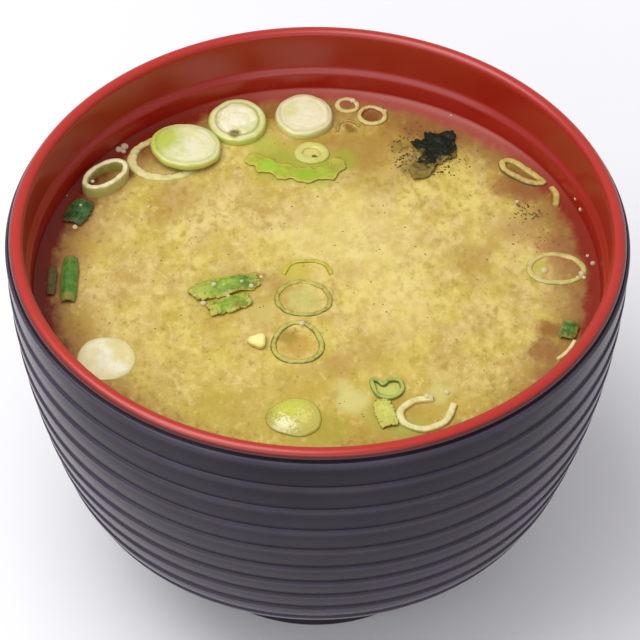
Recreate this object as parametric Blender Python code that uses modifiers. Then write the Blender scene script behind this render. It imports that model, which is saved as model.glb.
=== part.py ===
"""Miso soup in a ribbed bowl, with sliced scallions and seaweed on it.

The bowl stands on its foot ring at the origin, +Z is up and +Y is away from
the diner. Sizes are written in millimetres and turned into metres by MM.
"""
import bpy
import bmesh
from math import acos, atan2, cos, pi, radians, sin
from mathutils import Matrix, Vector

MM = 0.001

# Driving dimensions of the bowl; a drop is measured down from the top of the lip
RIM_RADIUS = 57.5 * MM
HEIGHT = 81.3 * MM
LIP_WIDTH = 2.7 * MM
LIP_DROP = 1.3 * MM
GROOVE_DEPTH = 0.3 * MM
GROOVE_DROP = 1.65 * MM
WALL = 3.7 * MM
LEDGE_DROP = 9.4 * MM
LEDGE_ROUND = 1.0 * MM
FOOT_RADIUS = 28.5 * MM
FOOT_WIDTH = 3.6 * MM
FOOT_TAPER = 0.8 * MM
FOOT_ROUND = 0.6 * MM
FOOT_FILLET = 0.8 * MM
RECESS_DEPTH = 3.5 * MM
BOWL_SIDES = 40

# The turned outside is two arcs: a long one down the wall, a short one under it
WALL_ARC_DROP = 0.8 * MM
WALL_ARC_RADIUS = 160.0 * MM
WALL_ARC_ANGLE = radians(18.0)
BODY_RADIUS = RIM_RADIUS + 0.25 * MM
SHOULDER_ARC_RADIUS = 28.0 * MM
RIB_START = 1.2 * MM
RIB_PITCHES = [6.4 * MM] * 5 + [5.6 * MM] * 5
RIB_BULGE = 0.4 * MM
RIB_BULGE_SHARES = (0.28, 0.72)

# Inside, below the ledge: the base is one arc that starts at this shoulder angle
BASE_ANGLE = radians(60.0)
CAVITY_MIDDLE_DROP = 36.0 * MM

# Soup and what lies on it
SOUP_DROP = 14.3 * MM
SOUP_LEVEL = HEIGHT - SOUP_DROP
GAP = 0.3 * MM
CUT_CLEARANCE = 0.35 * MM
CUT_TOP = SOUP_LEVEL + 4.0 * MM
LEAF_THICKNESS = 0.5 * MM
LEAF_TAPER = 0.45
LEAF_WAVES = 1.1
LEAF_MIDDLE_WAVE = 0.4
ROUND_EDGE = 0.35 * MM
ROUND_SIDES = 18
SEAWEED_CORE = 2.6
SEAWEED_SWELL = 0.35
SEAWEED_RIPPLE = 0.2

COLLECTION = "miso_soup"
WELD_DISTANCE = 0.01 * MM
SHARP_ANGLE = radians(35.0)

# Colours: red, green, blue, roughness
CHARCOAL_RED = (0.075, 0.055, 0.065, 0.35)
BROTH = (0.62, 0.50, 0.20, 0.25)
WHITE_STEM = (0.80, 0.76, 0.52, 0.35)
PALE_GREEN = (0.55, 0.58, 0.20, 0.35)
LEAF_GREEN = (0.20, 0.33, 0.05, 0.4)
SEAWEED = (0.02, 0.03, 0.01, 0.4)


def clear_scene():
    for obj in list(bpy.data.objects):
        bpy.data.objects.remove(obj, do_unlink=True)


def new_collection(name):
    collection = bpy.data.collections.new(name)
    bpy.context.scene.collection.children.link(collection)
    return collection


def make_material(name, finish):
    material = bpy.data.materials.new(name)
    material.use_nodes = True
    shader = material.node_tree.nodes["Principled BSDF"]
    shader.inputs["Base Color"].default_value = (*finish[:3], 1.0)
    shader.inputs["Roughness"].default_value = finish[3]
    shader.inputs["Metallic"].default_value = 0.0
    return material


def finish_object(obj, collection, finish):
    for owner in list(obj.users_collection):
        owner.objects.unlink(obj)
    collection.objects.link(obj)
    obj.data.materials.clear()
    obj.data.materials.append(make_material(obj.name, finish))
    return obj


def applied_mesh(obj):
    """The object's mesh after its modifiers, welded, in its own space."""
    bpy.context.view_layer.update()
    evaluated = obj.evaluated_get(bpy.context.evaluated_depsgraph_get())
    mesh = bpy.data.meshes.new_from_object(evaluated)
    shell = bmesh.new()
    shell.from_mesh(mesh)
    bmesh.ops.remove_doubles(shell, verts=shell.verts, dist=WELD_DISTANCE)
    bmesh.ops.recalc_face_normals(shell, faces=shell.faces)
    shell.to_mesh(mesh)
    shell.free()
    return mesh


def as_mesh_object(obj):
    """Turns a curve or a modified object into a plain mesh object."""
    name = obj.name
    mesh = applied_mesh(obj)
    placed = obj.matrix_world.copy()
    bpy.data.objects.remove(obj, do_unlink=True)
    mesh.name = name
    solid = bpy.data.objects.new(name, mesh)
    solid.matrix_world = placed
    bpy.context.scene.collection.objects.link(solid)
    return solid


def turned_solid(name, profile, sides):
    """Screws a closed (radius, height) profile round the Z axis."""
    mesh = bpy.data.meshes.new(name)
    points = [(radius, 0.0, height) for radius, height in profile]
    edges = [(i, i + 1) for i in range(len(points) - 1)]
    mesh.from_pydata(points, edges, [])
    obj = bpy.data.objects.new(name, mesh)
    bpy.context.scene.collection.objects.link(obj)
    screw = obj.modifiers.new("Turn", "SCREW")
    screw.angle = 2 * pi
    screw.steps = sides
    screw.render_steps = sides
    screw.use_merge_vertices = True
    screw.merge_threshold = WELD_DISTANCE
    return as_mesh_object(obj)


def arc(centre, radius, first, last, steps):
    """Points on an arc; angles are measured down from the outward radius."""
    points = []
    for i in range(steps + 1):
        angle = first + (last - first) * i / steps
        points.append((centre[0] + radius * cos(angle), centre[1] - radius * sin(angle)))
    return points


WALL_CENTRE = (BODY_RADIUS - WALL_ARC_RADIUS, HEIGHT - WALL_ARC_DROP)
SHOULDER_CENTRE = (
    WALL_CENTRE[0] + (WALL_ARC_RADIUS - SHOULDER_ARC_RADIUS) * cos(WALL_ARC_ANGLE),
    WALL_CENTRE[1] - (WALL_ARC_RADIUS - SHOULDER_ARC_RADIUS) * sin(WALL_ARC_ANGLE),
)


def body_point(distance, bulge=0.0):
    """A point on the outside, at a distance along it from the wall arc's start."""
    angle = distance / WALL_ARC_RADIUS
    if angle <= WALL_ARC_ANGLE:
        return arc(WALL_CENTRE, WALL_ARC_RADIUS + bulge, angle, angle, 1)[0]
    beyond = distance - WALL_ARC_RADIUS * WALL_ARC_ANGLE
    angle = WALL_ARC_ANGLE + beyond / SHOULDER_ARC_RADIUS
    return arc(SHOULDER_CENTRE, SHOULDER_ARC_RADIUS + bulge, angle, angle, 1)[0]


def ribbed_outside():
    """Shallow convex bands, one below the other, from the lip to the foot."""
    distance = RIB_START
    points = [body_point(distance)]
    for pitch in RIB_PITCHES:
        for share in RIB_BULGE_SHARES:
            points.append(body_point(distance + pitch * share, RIB_BULGE))
        distance += pitch
        points.append(body_point(distance))
    return points


def under_body():
    """The plain round underside, from the last rib in to the foot."""
    foot_top = FOOT_RADIUS + FOOT_TAPER + FOOT_FILLET
    rib_end = RIB_START + sum(RIB_PITCHES) - WALL_ARC_RADIUS * WALL_ARC_ANGLE
    first = WALL_ARC_ANGLE + rib_end / SHOULDER_ARC_RADIUS
    last = acos((foot_top - SHOULDER_CENTRE[0]) / SHOULDER_ARC_RADIUS)
    return arc(SHOULDER_CENTRE, SHOULDER_ARC_RADIUS, first, last, 4)[1:]


def foot_profile(top):
    """The foot ring, from its fillet under the body down and in to the recess."""
    inner_foot = FOOT_RADIUS - FOOT_WIDTH
    recess = inner_foot - FOOT_TAPER
    return [
        (FOOT_RADIUS + FOOT_TAPER, top - FOOT_FILLET),
        (FOOT_RADIUS, FOOT_ROUND),
        (FOOT_RADIUS - FOOT_ROUND, 0.0),
        (inner_foot + FOOT_ROUND, 0.0),
        (inner_foot, FOOT_ROUND),
        (recess, RECESS_DEPTH - FOOT_ROUND),
        (recess - FOOT_ROUND, RECESS_DEPTH),
        (0.0, RECESS_DEPTH),
    ]


def cavity(inset):
    """The inside below the lid ledge, from the axis up, moved in by inset."""
    shoulder = arc(SHOULDER_CENTRE, SHOULDER_ARC_RADIUS - inset, BASE_ANGLE, WALL_ARC_ANGLE, 4)
    start = shoulder[0]
    base_radius = start[0] / cos(BASE_ANGLE)
    base_centre = (0.0, start[1] + base_radius * sin(BASE_ANGLE))
    base = arc(base_centre, base_radius, pi / 2, BASE_ANGLE, 4)
    base[0] = (0.0, base_centre[1] - base_radius)
    middle = HEIGHT - CAVITY_MIDDLE_DROP
    return base + shoulder[1:] + [(wall_radius(middle, inset), middle)]


def wall_radius(height, inset):
    drop = WALL_CENTRE[1] - height
    return WALL_CENTRE[0] + ((WALL_ARC_RADIUS - inset) ** 2 - drop ** 2) ** 0.5


def lip_profile():
    """Rounded lip, from its inner side over the top to the outer groove."""
    half = LIP_WIDTH / 2
    centre = RIM_RADIUS - half
    points = []
    for i in range(7):
        angle = pi * (1.0 - i / 6)
        points.append((centre + half * cos(angle), HEIGHT - LIP_DROP + LIP_DROP * sin(angle)))
    points.append((RIM_RADIUS - GROOVE_DEPTH, HEIGHT - GROOVE_DROP))
    return points


def bowl_profile():
    inner_radius = RIM_RADIUS - LIP_WIDTH
    ledge = HEIGHT - LEDGE_DROP
    inside = cavity(WALL)
    for height in (SOUP_LEVEL, ledge - LEDGE_ROUND):
        inside.append((wall_radius(height, WALL), height))
    shelf = inside[-1][0]
    inside.append(((2 * shelf + inner_radius) / 3, ledge - LEDGE_ROUND / 3))
    inside.append((inner_radius, ledge + LEDGE_ROUND / 3))
    outside = ribbed_outside() + under_body()
    return inside + lip_profile() + outside + foot_profile(outside[-1][1])


def make_bowl(collection):
    bowl = turned_solid("bowl", bowl_profile(), BOWL_SIDES)
    bowl.data.shade_smooth()
    bowl.data.set_sharp_from_angle(angle=SHARP_ANGLE)
    return finish_object(bowl, collection, CHARCOAL_RED)


def soup_profile():
    inset = WALL + GAP
    return cavity(inset) + [(wall_radius(SOUP_LEVEL, inset), SOUP_LEVEL), (0.0, SOUP_LEVEL)]


# Pieces on the soup. Each cut piece is made twice: once as itself and once,
# a clearance larger all round, as the cutter that makes its place in the soup.


def loop_points(centre, radii, turn=0.0, sides=ROUND_SIDES, waves=()):
    """A closed outline; waves are (count, share of the radius, phase)."""
    points = []
    for i in range(sides):
        angle = 2 * pi * i / sides
        scale = 1.0 + sum(share * cos(count * angle + phase) for count, share, phase in waves)
        along = Vector((radii[0] * cos(angle) * scale, radii[1] * sin(angle) * scale))
        along.rotate(Matrix.Rotation(radians(turn), 2))
        points.append(((centre[0] + along.x) * MM, (centre[1] + along.y) * MM))
    return points


def path_points(knots, closed=False, steps=3):
    """A smooth path through hand-placed knots, as a Catmull-Rom curve."""
    count = len(knots)
    spans = count if closed else count - 1
    points = []
    for i in range(spans):
        around = []
        for offset in (-1, 0, 1, 2):
            index = (i + offset) % count if closed else min(max(i + offset, 0), count - 1)
            around.append(Vector(knots[index]))
        before, start, end, after = around
        for j in range(steps):
            t = j / steps
            point = 0.5 * (2 * start + (end - before) * t
                           + (2 * before - 5 * start + 4 * end - after) * t ** 2
                           + (3 * start - before - 3 * end + after) * t ** 3)
            points.append((point.x * MM, point.y * MM))
    if not closed:
        points.append((knots[-1][0] * MM, knots[-1][1] * MM))
    return points


def curve_object(name, points, closed, low, high, filled):
    """A flat POLY curve, extruded from height low to height high."""
    curve = bpy.data.curves.new(name, "CURVE")
    curve.dimensions = "2D"
    curve.fill_mode = "BOTH" if filled else "NONE"
    curve.extrude = (high - low) / 2
    spline = curve.splines.new("POLY")
    spline.points.add(len(points) - 1)
    for knot, (x, y) in zip(spline.points, points):
        knot.co = (x, y, 0.0, 1.0)
    spline.use_cyclic_u = closed
    obj = bpy.data.objects.new(name, curve)
    obj.location.z = (low + high) / 2
    bpy.context.scene.collection.objects.link(obj)
    return obj


def standing_wall(name, points, closed, thickness, low, high):
    """A thin wall that stands on its path: a scallion ring or a curl of one."""
    obj = curve_object(name, points, closed, low, high, filled=False)
    solidify = obj.modifiers.new("Wall", "SOLIDIFY")
    solidify.thickness = thickness
    solidify.offset = 0.0
    solidify.use_even_offset = True
    return as_mesh_object(obj)


def flat_plate(name, points, low, high):
    return as_mesh_object(curve_object(name, points, True, low, high, filled=True))


def cut_depths(low):
    return SOUP_LEVEL + low * MM - CUT_CLEARANCE, CUT_TOP


def make_wall_piece(name, points, closed, thickness, low, high, finish, places):
    parts, cutters = places
    piece = standing_wall(name, points, closed, thickness * MM,
                          SOUP_LEVEL + low * MM, SOUP_LEVEL + high * MM)
    finish_object(piece, parts, finish)
    bottom, top = cut_depths(low)
    cutter = standing_wall("place_of_" + name, points, closed,
                           thickness * MM + 2 * CUT_CLEARANCE, bottom, top)
    hide_cutter(cutter, cutters)


def hide_cutter(cutter, cutters):
    for owner in list(cutter.users_collection):
        owner.objects.unlink(cutter)
    cutters.objects.link(cutter)
    cutter.hide_render = True
    cutter.display_type = "WIRE"


def make_round(name, centre, radii, low, high, finish, places, sunk=True, tilt=(0.0, 0.0)):
    """A slice across the thick white stem: a short, slightly oval drum."""
    parts, cutters = places
    bpy.ops.mesh.primitive_cylinder_add(vertices=ROUND_SIDES, radius=1.0,
                                        depth=(high - low) * MM)
    drum = bpy.context.object
    drum.name = name
    drum.data.transform(Matrix.Diagonal((radii[0] * MM, radii[1] * MM, 1.0, 1.0)))
    drum.rotation_euler = (radians(tilt[0]), radians(tilt[1]), 0.0)
    drum.location = (centre[0] * MM, centre[1] * MM, SOUP_LEVEL + (low + high) / 2 * MM)
    bevel = drum.modifiers.new("Soft edge", "BEVEL")
    bevel.width = ROUND_EDGE
    bevel.segments = 1
    bevel.limit_method = "ANGLE"
    finish_object(as_mesh_object(drum), parts, finish)
    if not sunk:
        return
    bottom, top = cut_depths(low)
    grown = (radii[0] + CUT_CLEARANCE / MM, radii[1] + CUT_CLEARANCE / MM)
    cutter = flat_plate("place_of_" + name, loop_points(centre, grown), bottom, top)
    hide_cutter(cutter, cutters)


def make_leaf(name, centre, length, width, turn, arch, wave, finish, parts, grid=(8, 4)):
    """A wavy strip of leaf that lies on the soup, long way along its turn."""
    sheet = bmesh.new()
    bmesh.ops.create_grid(sheet, x_segments=grid[0], y_segments=grid[1], size=0.5)
    for vert in sheet.verts:
        u = vert.co.x * 2
        v = vert.co.y * 2
        taper = 1.0 - LEAF_TAPER * abs(u) ** 3
        edge_share = LEAF_MIDDLE_WAVE + (1.0 - LEAF_MIDDLE_WAVE) * abs(v)
        height = arch * (1.0 - v * v) + wave * sin(2 * pi * LEAF_WAVES * u) * edge_share
        vert.co = (u * length / 2 * MM, v * width / 2 * taper * MM, height * MM)
    bmesh.ops.triangulate(sheet, faces=sheet.faces)
    leaf_object(name, sheet, centre, turn, finish, parts)


def leaf_object(name, sheet, centre, turn, finish, parts):
    """Gives a leaf's sheet its thickness and lays it just over the soup."""
    mesh = bpy.data.meshes.new(name)
    sheet.to_mesh(mesh)
    sheet.free()
    leaf = bpy.data.objects.new(name, mesh)
    bpy.context.scene.collection.objects.link(leaf)
    solidify = leaf.modifiers.new("Thickness", "SOLIDIFY")
    solidify.thickness = LEAF_THICKNESS
    solidify.offset = 1.0
    leaf.rotation_euler.z = radians(turn)
    lowest = min(vert.co.z for vert in mesh.vertices)
    leaf.location = (centre[0] * MM, centre[1] * MM, SOUP_LEVEL + GAP - lowest)
    finish_object(as_mesh_object(leaf), parts, finish)


def make_scallion_rounds(places):
    """White slices; the left one lies on the large pale ring beside it."""
    make_round("scallion_round_left", (-25.9, 35.0), (7.0, 6.2), 0.95, 2.6,
               WHITE_STEM, places, sunk=False, tilt=(0.0, 4.0))
    make_round("scallion_round_back_left", (-16.0, 43.4), (5.9, 6.3), -0.6, 1.6,
               WHITE_STEM, places)
    make_round("scallion_round_back", (-3.0, 45.3), (5.8, 6.0), -0.6, 1.6,
               WHITE_STEM, places)
    make_round("scallion_round_front_left", (-38.8, -21.0), (5.7, 5.8), -1.4, 0.4,
               WHITE_STEM, places)
    make_round("scallion_round_front", (-3.8, -35.4), (5.3, 4.8), -1.4, 0.5,
               PALE_GREEN, places)


def make_scallion_rings(places):
    """Hollow slices: name, centre, radii of the wall's middle line, wall, low, high."""
    pale_rings = [
        ("scallion_ring_left", (-30.2, 33.2), (6.0, 5.9), 2.0, -1.3, 0.35),
        ("scallion_ring_small", (-1.4, 35.3), (2.9, 2.8), 1.0, -1.2, 0.5),
        ("scallion_ring_back_a", (5.5, 49.2), (2.1, 2.2), 0.6, -0.9, 0.5),
        ("scallion_ring_back_b", (10.4, 46.2), (2.6, 2.7), 0.7, -0.9, 0.6),
        ("scallion_ring_middle", (-2.6, -4.8), (4.9, 4.8), 0.7, -0.9, 0.35),
        ("scallion_ring_right", (45.2, 4.0), (5.1, 4.2), 0.9, -1.0, 0.4),
    ]
    for name, centre, radii, wall, low, high in pale_rings:
        outline = loop_points(centre, radii, waves=((2, 0.03, 0.6), (3, 0.02, 1.3)))
        make_wall_piece(name, outline, True, wall, low, high, PALE_GREEN, places)
    drop_ring = loop_points((-3.5, -16.6), (4.7, 5.4), waves=((3, 0.05, pi / 2),))
    make_wall_piece("scallion_ring_olive", drop_ring, True, 0.7, -0.9, 0.35,
                    LEAF_GREEN, places)
    kidney = path_points([(10.2, -26.0), (11.4, -26.1), (12.4, -27.0), (13.4, -25.9),
                          (15.4, -26.0), (15.8, -28.4), (14.0, -30.2), (11.4, -29.6)],
                         closed=True, steps=2)
    make_wall_piece("scallion_ring_kidney", kidney, True, 0.7, -0.7, 0.7,
                    LEAF_GREEN, places)
    folded = path_points([(35.9, 33.3), (38.0, 33.4), (41.1, 30.4), (43.6, 27.6),
                          (41.2, 27.5), (38.1, 29.3), (36.1, 31.2)], closed=True, steps=3)
    make_wall_piece("scallion_ring_folded", folded, True, 1.0, -1.0, 0.7,
                    PALE_GREEN, places)


def make_scallion_curls(places):
    """Open pieces of ring wall: name, knots of the path, wall, low, high."""
    curls = [
        ("scallion_curl_front", [(21.4, -30.4), (18.0, -31.0), (15.5, -33.6), (16.2, -36.6),
                                 (19.8, -38.0), (23.6, -36.0), (25.2, -31.8)], 1.1, -1.0, 0.7),
        ("scallion_arch_middle", [(-6.4, 1.6), (-5.0, 4.4), (-1.8, 5.4), (1.4, 4.5),
                                  (2.6, 1.8)], 0.8, -0.9, 0.35),
        ("scallion_arc_back", [(3.6, 41.6), (4.0, 44.0), (6.0, 44.9), (8.0, 43.2)],
         0.6, -0.9, 0.35),
        ("scallion_tail_right", [(45.2, 26.2), (46.0, 24.0), (45.8, 21.0)], 1.5, -1.0, 0.7),
        ("scallion_strip_right", [(44.6, -20.0), (46.6, -17.8), (48.0, -15.2)],
         0.9, -0.8, 0.6),
    ]
    for name, knots, wall, low, high in curls:
        make_wall_piece(name, path_points(knots), False, wall, low, high, PALE_GREEN, places)


def make_scallion_tube(places):
    """A taller length of stem, pressed oval, that stands with its bore open."""
    outline = loop_points((-41.2, 26.4), (4.7, 2.6), turn=45.0, sides=16)
    make_wall_piece("scallion_tube", outline, True, 1.0, -1.0, 2.6, PALE_GREEN, places)


def make_green_leaves(parts):
    """Cut green leaf: name, centre, length, width, turn, arch across, wave along."""
    leaves = [
        ("green_leaf_back_left", (-46.0, 17.8), 6.6, 4.6, 70.0, 0.5, 0.25, (6, 4)),
        ("green_leaf_left", (-46.7, -0.8), 11.6, 2.9, 90.0, 0.9, 0.0, (6, 4)),
        ("green_leaf_wall", (-50.0, -1.0), 7.6, 1.5, 90.0, 0.2, 0.1, (5, 2)),
        ("green_leaf_middle_a", (-17.3, -2.0), 13.2, 3.6, 20.0, 0.9, 0.15, (8, 4)),
        ("green_leaf_middle_b", (-16.3, -6.8), 8.0, 2.9, 25.0, 0.7, 0.15, (6, 4)),
        ("green_leaf_right", (47.0, -12.4), 4.4, 3.2, 75.0, 0.4, 0.1, (5, 3)),
        ("green_leaf_front", (12.7, -34.0), 6.6, 3.0, 105.0, 0.2, 0.15, (6, 3)),
    ]
    for name, centre, length, width, turn, arch, wave, grid in leaves:
        make_leaf(name, centre, length, width, turn, arch, wave, LEAF_GREEN, parts, grid)


def strip_outline(knots, width):
    """The outline of a flat strip of even width along a path."""
    middle = [Vector(point) for point in path_points(knots)]
    sides = ([], [])
    for i, point in enumerate(middle):
        ahead = middle[min(i + 1, len(middle) - 1)] - middle[max(i - 1, 0)]
        across = Vector((-ahead.y, ahead.x)).normalized() * width / 2 * MM
        sides[0].append(tuple(point + across))
        sides[1].append(tuple(point - across))
    return sides[0] + sides[1][::-1]


def make_flat_pieces(parts):
    """A long film of green leaf and a small white chip, both lying on the soup."""
    low = SOUP_LEVEL + GAP
    high = low + LEAF_THICKNESS
    film = strip_outline([(-13.8, 34.0), (-11.0, 32.0), (-6.5, 29.9), (-1.5, 28.9),
                          (2.4, 30.4), (4.0, 33.6)], 2.8)
    finish_object(flat_plate("green_leaf_back", film, low, high), parts, LEAF_GREEN)
    chip = [(-12.6, -14.9), (-9.4, -14.7), (-9.2, -16.6), (-10.4, -18.2), (-11.4, -17.0)]
    chip = [(x * MM, y * MM) for x, y in chip]
    finish_object(flat_plate("scallion_chip", chip, low, high + GAP), parts, WHITE_STEM)


def make_seaweed(parts):
    """A torn piece of wakame: a wavy leaf with a long tail and short lobes."""
    centre = (23.2, 36.6)
    lobes = [(-120.0, 10.5, 0.26), (163.0, 6.4, 0.3), (110.0, 5.6, 0.4), (60.0, 6.0, 0.45),
             (-32.0, 5.0, 0.4), (-80.0, 4.2, 0.5)]
    spokes = 26
    rings = 3
    sheet = bmesh.new()
    middle = sheet.verts.new((0.0, 0.0, 0.0))
    rows = []
    for ring in range(1, rings + 1):
        row = []
        for i in range(spokes):
            heading = 2 * pi * i / spokes
            reach = seaweed_reach(heading, lobes)
            share = ring / rings
            lift = (SEAWEED_SWELL * sin(3 * heading + 1.0) * share
                    + SEAWEED_RIPPLE * sin(7 * heading) * share ** 2)
            row.append(sheet.verts.new((reach * share * cos(heading) * MM,
                                        reach * share * sin(heading) * MM, lift * MM)))
        rows.append(row)
    for i in range(spokes):
        after = (i + 1) % spokes
        sheet.faces.new((middle, rows[0][i], rows[0][after]))
        for inner, outer in zip(rows, rows[1:]):
            sheet.faces.new((inner[i], outer[i], outer[after], inner[after]))
    bmesh.ops.triangulate(sheet, faces=sheet.faces)
    leaf_object("wakame", sheet, centre, 0.0, SEAWEED, parts)


def seaweed_reach(heading, lobes):
    """How far the leaf reaches in one direction, in millimetres."""
    reach = SEAWEED_CORE
    for towards, length, spread in lobes:
        apart = atan2(sin(heading - radians(towards)), cos(heading - radians(towards)))
        reach = max(reach, length / (1.0 + (apart / spread) ** 2))
    return reach


def make_soup(collection, cutters):
    """The soup fills the bowl to its level, with a place cut for each piece."""
    soup = turned_solid("soup", soup_profile(), BOWL_SIDES)
    cut = soup.modifiers.new("Places of the pieces", "BOOLEAN")
    cut.operation = "DIFFERENCE"
    cut.operand_type = "COLLECTION"
    cut.collection = cutters
    cut.solver = "EXACT"
    return finish_object(soup, collection, BROTH)


clear_scene()
parts_collection = new_collection(COLLECTION)
cutter_collection = new_collection("places_in_soup")
both = (parts_collection, cutter_collection)
make_bowl(parts_collection)
make_scallion_rounds(both)
make_scallion_rings(both)
make_scallion_curls(both)
make_scallion_tube(both)
make_green_leaves(parts_collection)
make_flat_pieces(parts_collection)
make_seaweed(parts_collection)
make_soup(parts_collection, cutter_collection)
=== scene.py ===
from math import acos, atan2, cos, exp, pi, radians, sin

import bmesh
import bpy
from mathutils import Matrix, Vector, noise


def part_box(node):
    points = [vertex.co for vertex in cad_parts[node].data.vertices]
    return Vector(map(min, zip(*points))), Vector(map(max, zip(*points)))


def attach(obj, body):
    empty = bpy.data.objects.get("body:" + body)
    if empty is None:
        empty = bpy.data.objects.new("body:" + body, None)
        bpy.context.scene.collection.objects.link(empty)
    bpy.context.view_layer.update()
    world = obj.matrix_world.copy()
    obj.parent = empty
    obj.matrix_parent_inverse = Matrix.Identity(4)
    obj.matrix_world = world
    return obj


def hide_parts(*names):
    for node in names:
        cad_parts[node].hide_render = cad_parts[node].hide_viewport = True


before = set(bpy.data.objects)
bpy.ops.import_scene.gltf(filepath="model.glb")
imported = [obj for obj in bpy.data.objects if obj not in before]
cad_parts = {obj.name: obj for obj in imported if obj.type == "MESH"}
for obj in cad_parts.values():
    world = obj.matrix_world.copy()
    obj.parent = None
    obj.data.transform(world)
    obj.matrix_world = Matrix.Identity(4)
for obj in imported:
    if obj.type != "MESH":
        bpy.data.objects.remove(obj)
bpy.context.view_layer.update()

MM = 0.001

# The view: the bowl stands on a plain pale table in a white room. One wide soft
# panel hangs over it, a little to the left, and a long low strip lights it from
# the front. The camera looks down at 45 degrees.
lip_plane = 80.5 * MM
lip_radius = 57.5 * MM
camera_back = 8.624 * lip_radius
camera_up = 8.343 * lip_radius
camera_pitch = radians(45.44)
camera_pan = radians(0.05)
camera_roll = radians(0.69)
lens_length = 208.5
sensor_width = 36.0

camera_data = bpy.data.cameras.new("view")
camera_data.lens = lens_length
camera_data.sensor_width = sensor_width
camera_data.clip_start, camera_data.clip_end = 0.05, 20.0
camera = bpy.data.objects.new("view", camera_data)
bpy.context.scene.collection.objects.link(camera)
camera.matrix_world = (
    Matrix.Translation((0.0, -camera_back, lip_plane + camera_up))
    @ Matrix.Rotation(pi / 2 - camera_pitch, 4, "X")
    @ Matrix.Rotation(-camera_pan, 4, "Y")
    @ Matrix.Rotation(camera_roll, 4, "Z")
)
bpy.context.scene.camera = camera
bpy.context.scene.view_settings.view_transform = "Standard"


def soft_panel(name, place, aim, size, power):
    """A panel of soft white light, wide and tall by size, that faces the point aim."""
    light = bpy.data.lights.new(name, "AREA")
    light.shape = "RECTANGLE"
    light.size, light.size_y = size
    light.energy = power
    panel = bpy.data.objects.new(name, light)
    bpy.context.scene.collection.objects.link(panel)
    panel.location = place
    panel.rotation_euler = (Vector(aim) - Vector(place)).to_track_quat("-Z", "Y").to_euler()


bowl_middle = (0.0, 0.0, 0.05)
soft_panel("overhead_panel", (-0.28, -0.06, 0.78), bowl_middle, (0.6, 0.6), 4.4)
soft_panel("front_strip", (-0.25, -0.75, 0.60), bowl_middle, (1.6, 0.25), 2.4)


# The room round the table is evenly white, with a trace of violet, so that
# every side of the bowl gets some light.
world = bpy.data.worlds.new("white_room")
bpy.context.scene.world = world
world.use_nodes = True
room = world.node_tree.nodes["Background"]
room.inputs["Color"].default_value = (0.96, 0.94, 1.0, 1.0)
room.inputs["Strength"].default_value = 0.58


# The table is stage only: matt paper, near white with a faint grain, and wide
# enough to fill the view.
class Wire:
    """A value in a node tree. Sums written with it add Math nodes to the tree."""

    def __init__(self, tree, socket=None):
        self.tree = tree
        self.socket = socket

    def add(self, kind, settings=None, inputs=None, output=0):
        """Adds a node: its type, its settings, then what its sockets take."""
        node = self.tree.nodes.new(kind)
        for name, value in (settings or {}).items():
            setattr(node, name, value)
        for name, value in (inputs or {}).items():
            if isinstance(value, Wire):
                self.tree.links.new(value.socket, node.inputs[name])
            else:
                node.inputs[name].default_value = value
        return Wire(self.tree, node.outputs[output])

    def then(self, kind, inputs=None, settings=None, output=0):
        """The next node, which takes this value in its first socket."""
        return self.add(kind, settings, {0: self, **(inputs or {})}, output)

    def other(self, output):
        """Another output of the node that this value comes from."""
        return Wire(self.tree, self.socket.node.outputs[output])

    def maths(self, operation, *terms):
        """A Math node, or its twin in a geometry tree."""
        return self.add("ShaderNodeMath", {"operation": operation}, dict(enumerate(terms)))

    def __add__(self, term):
        return self.maths("ADD", self, term)

    def __radd__(self, term):
        return self.maths("ADD", term, self)

    def __sub__(self, term):
        return self.maths("SUBTRACT", self, term)

    def __rsub__(self, term):
        return self.maths("SUBTRACT", term, self)

    def __mul__(self, term):
        return self.maths("MULTIPLY", self, term)

    def __rmul__(self, term):
        return self.maths("MULTIPLY", term, self)

    def __truediv__(self, term):
        return self.maths("DIVIDE", self, term)

    def __pow__(self, term):
        return self.maths("POWER", self, term)

    def __gt__(self, term):
        return self.maths("GREATER_THAN", self, term)

    def between(self, low, high):
        """Rises smoothly from 0 at low to 1 at high."""
        return self.then("ShaderNodeMapRange", {"From Min": low, "From Max": high},
                         {"interpolation_type": "SMOOTHSTEP"})

    def mixed(self, first, second):
        """The colour first where this share is 0, and second where it is 1."""
        return self.add("ShaderNodeMix", {"data_type": "RGBA"},
                        {0: self, 6: paint(first), 7: paint(second)}, 2)

    def noise(self, vector, scale, detail=2.0, roughness=0.5, seed=0.0):
        """Soft noise about 0.5, with scale features to each unit of the vector."""
        return self.add("ShaderNodeTexNoise", {"noise_dimensions": "4D"},
                        {"Vector": vector, "W": seed, "Scale": scale,
                         "Detail": detail, "Roughness": roughness})

    def parts(self):
        """The three numbers of a vector."""
        first = self.then("ShaderNodeSeparateXYZ")
        return first, first.other(1), first.other(2)

    def vector(self, x, y, z):
        return self.add("ShaderNodeCombineXYZ", inputs={0: x, 1: y, 2: z})

    def scaled(self, share):
        """A vector made longer or shorter."""
        return self.then("ShaderNodeVectorMath", {"Scale": share}, {"operation": "SCALE"})

    def kept(self, mark):
        """A number that a geometry keeps for each point."""
        return self.add("GeometryNodeInputNamedAttribute", {"data_type": "FLOAT"}, {"Name": mark})

    def keep(self, mark, value):
        """This geometry, with a number kept for each point."""
        return self.then("GeometryNodeStoreNamedAttribute", {"Name": mark, "Value": value},
                         {"data_type": "FLOAT", "domain": "POINT"})


def paint(colour):
    """Blender's linear values for red, green and blue as the eye reads them, 0 to 255."""
    if isinstance(colour, Wire) or len(colour) == 4:
        return colour
    shares = [value / 255 for value in colour]
    return (*[share / 12.92 if share <= 0.04045 else ((share + 0.055) / 1.055) ** 2.4
              for share in shares], 1.0)


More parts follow.
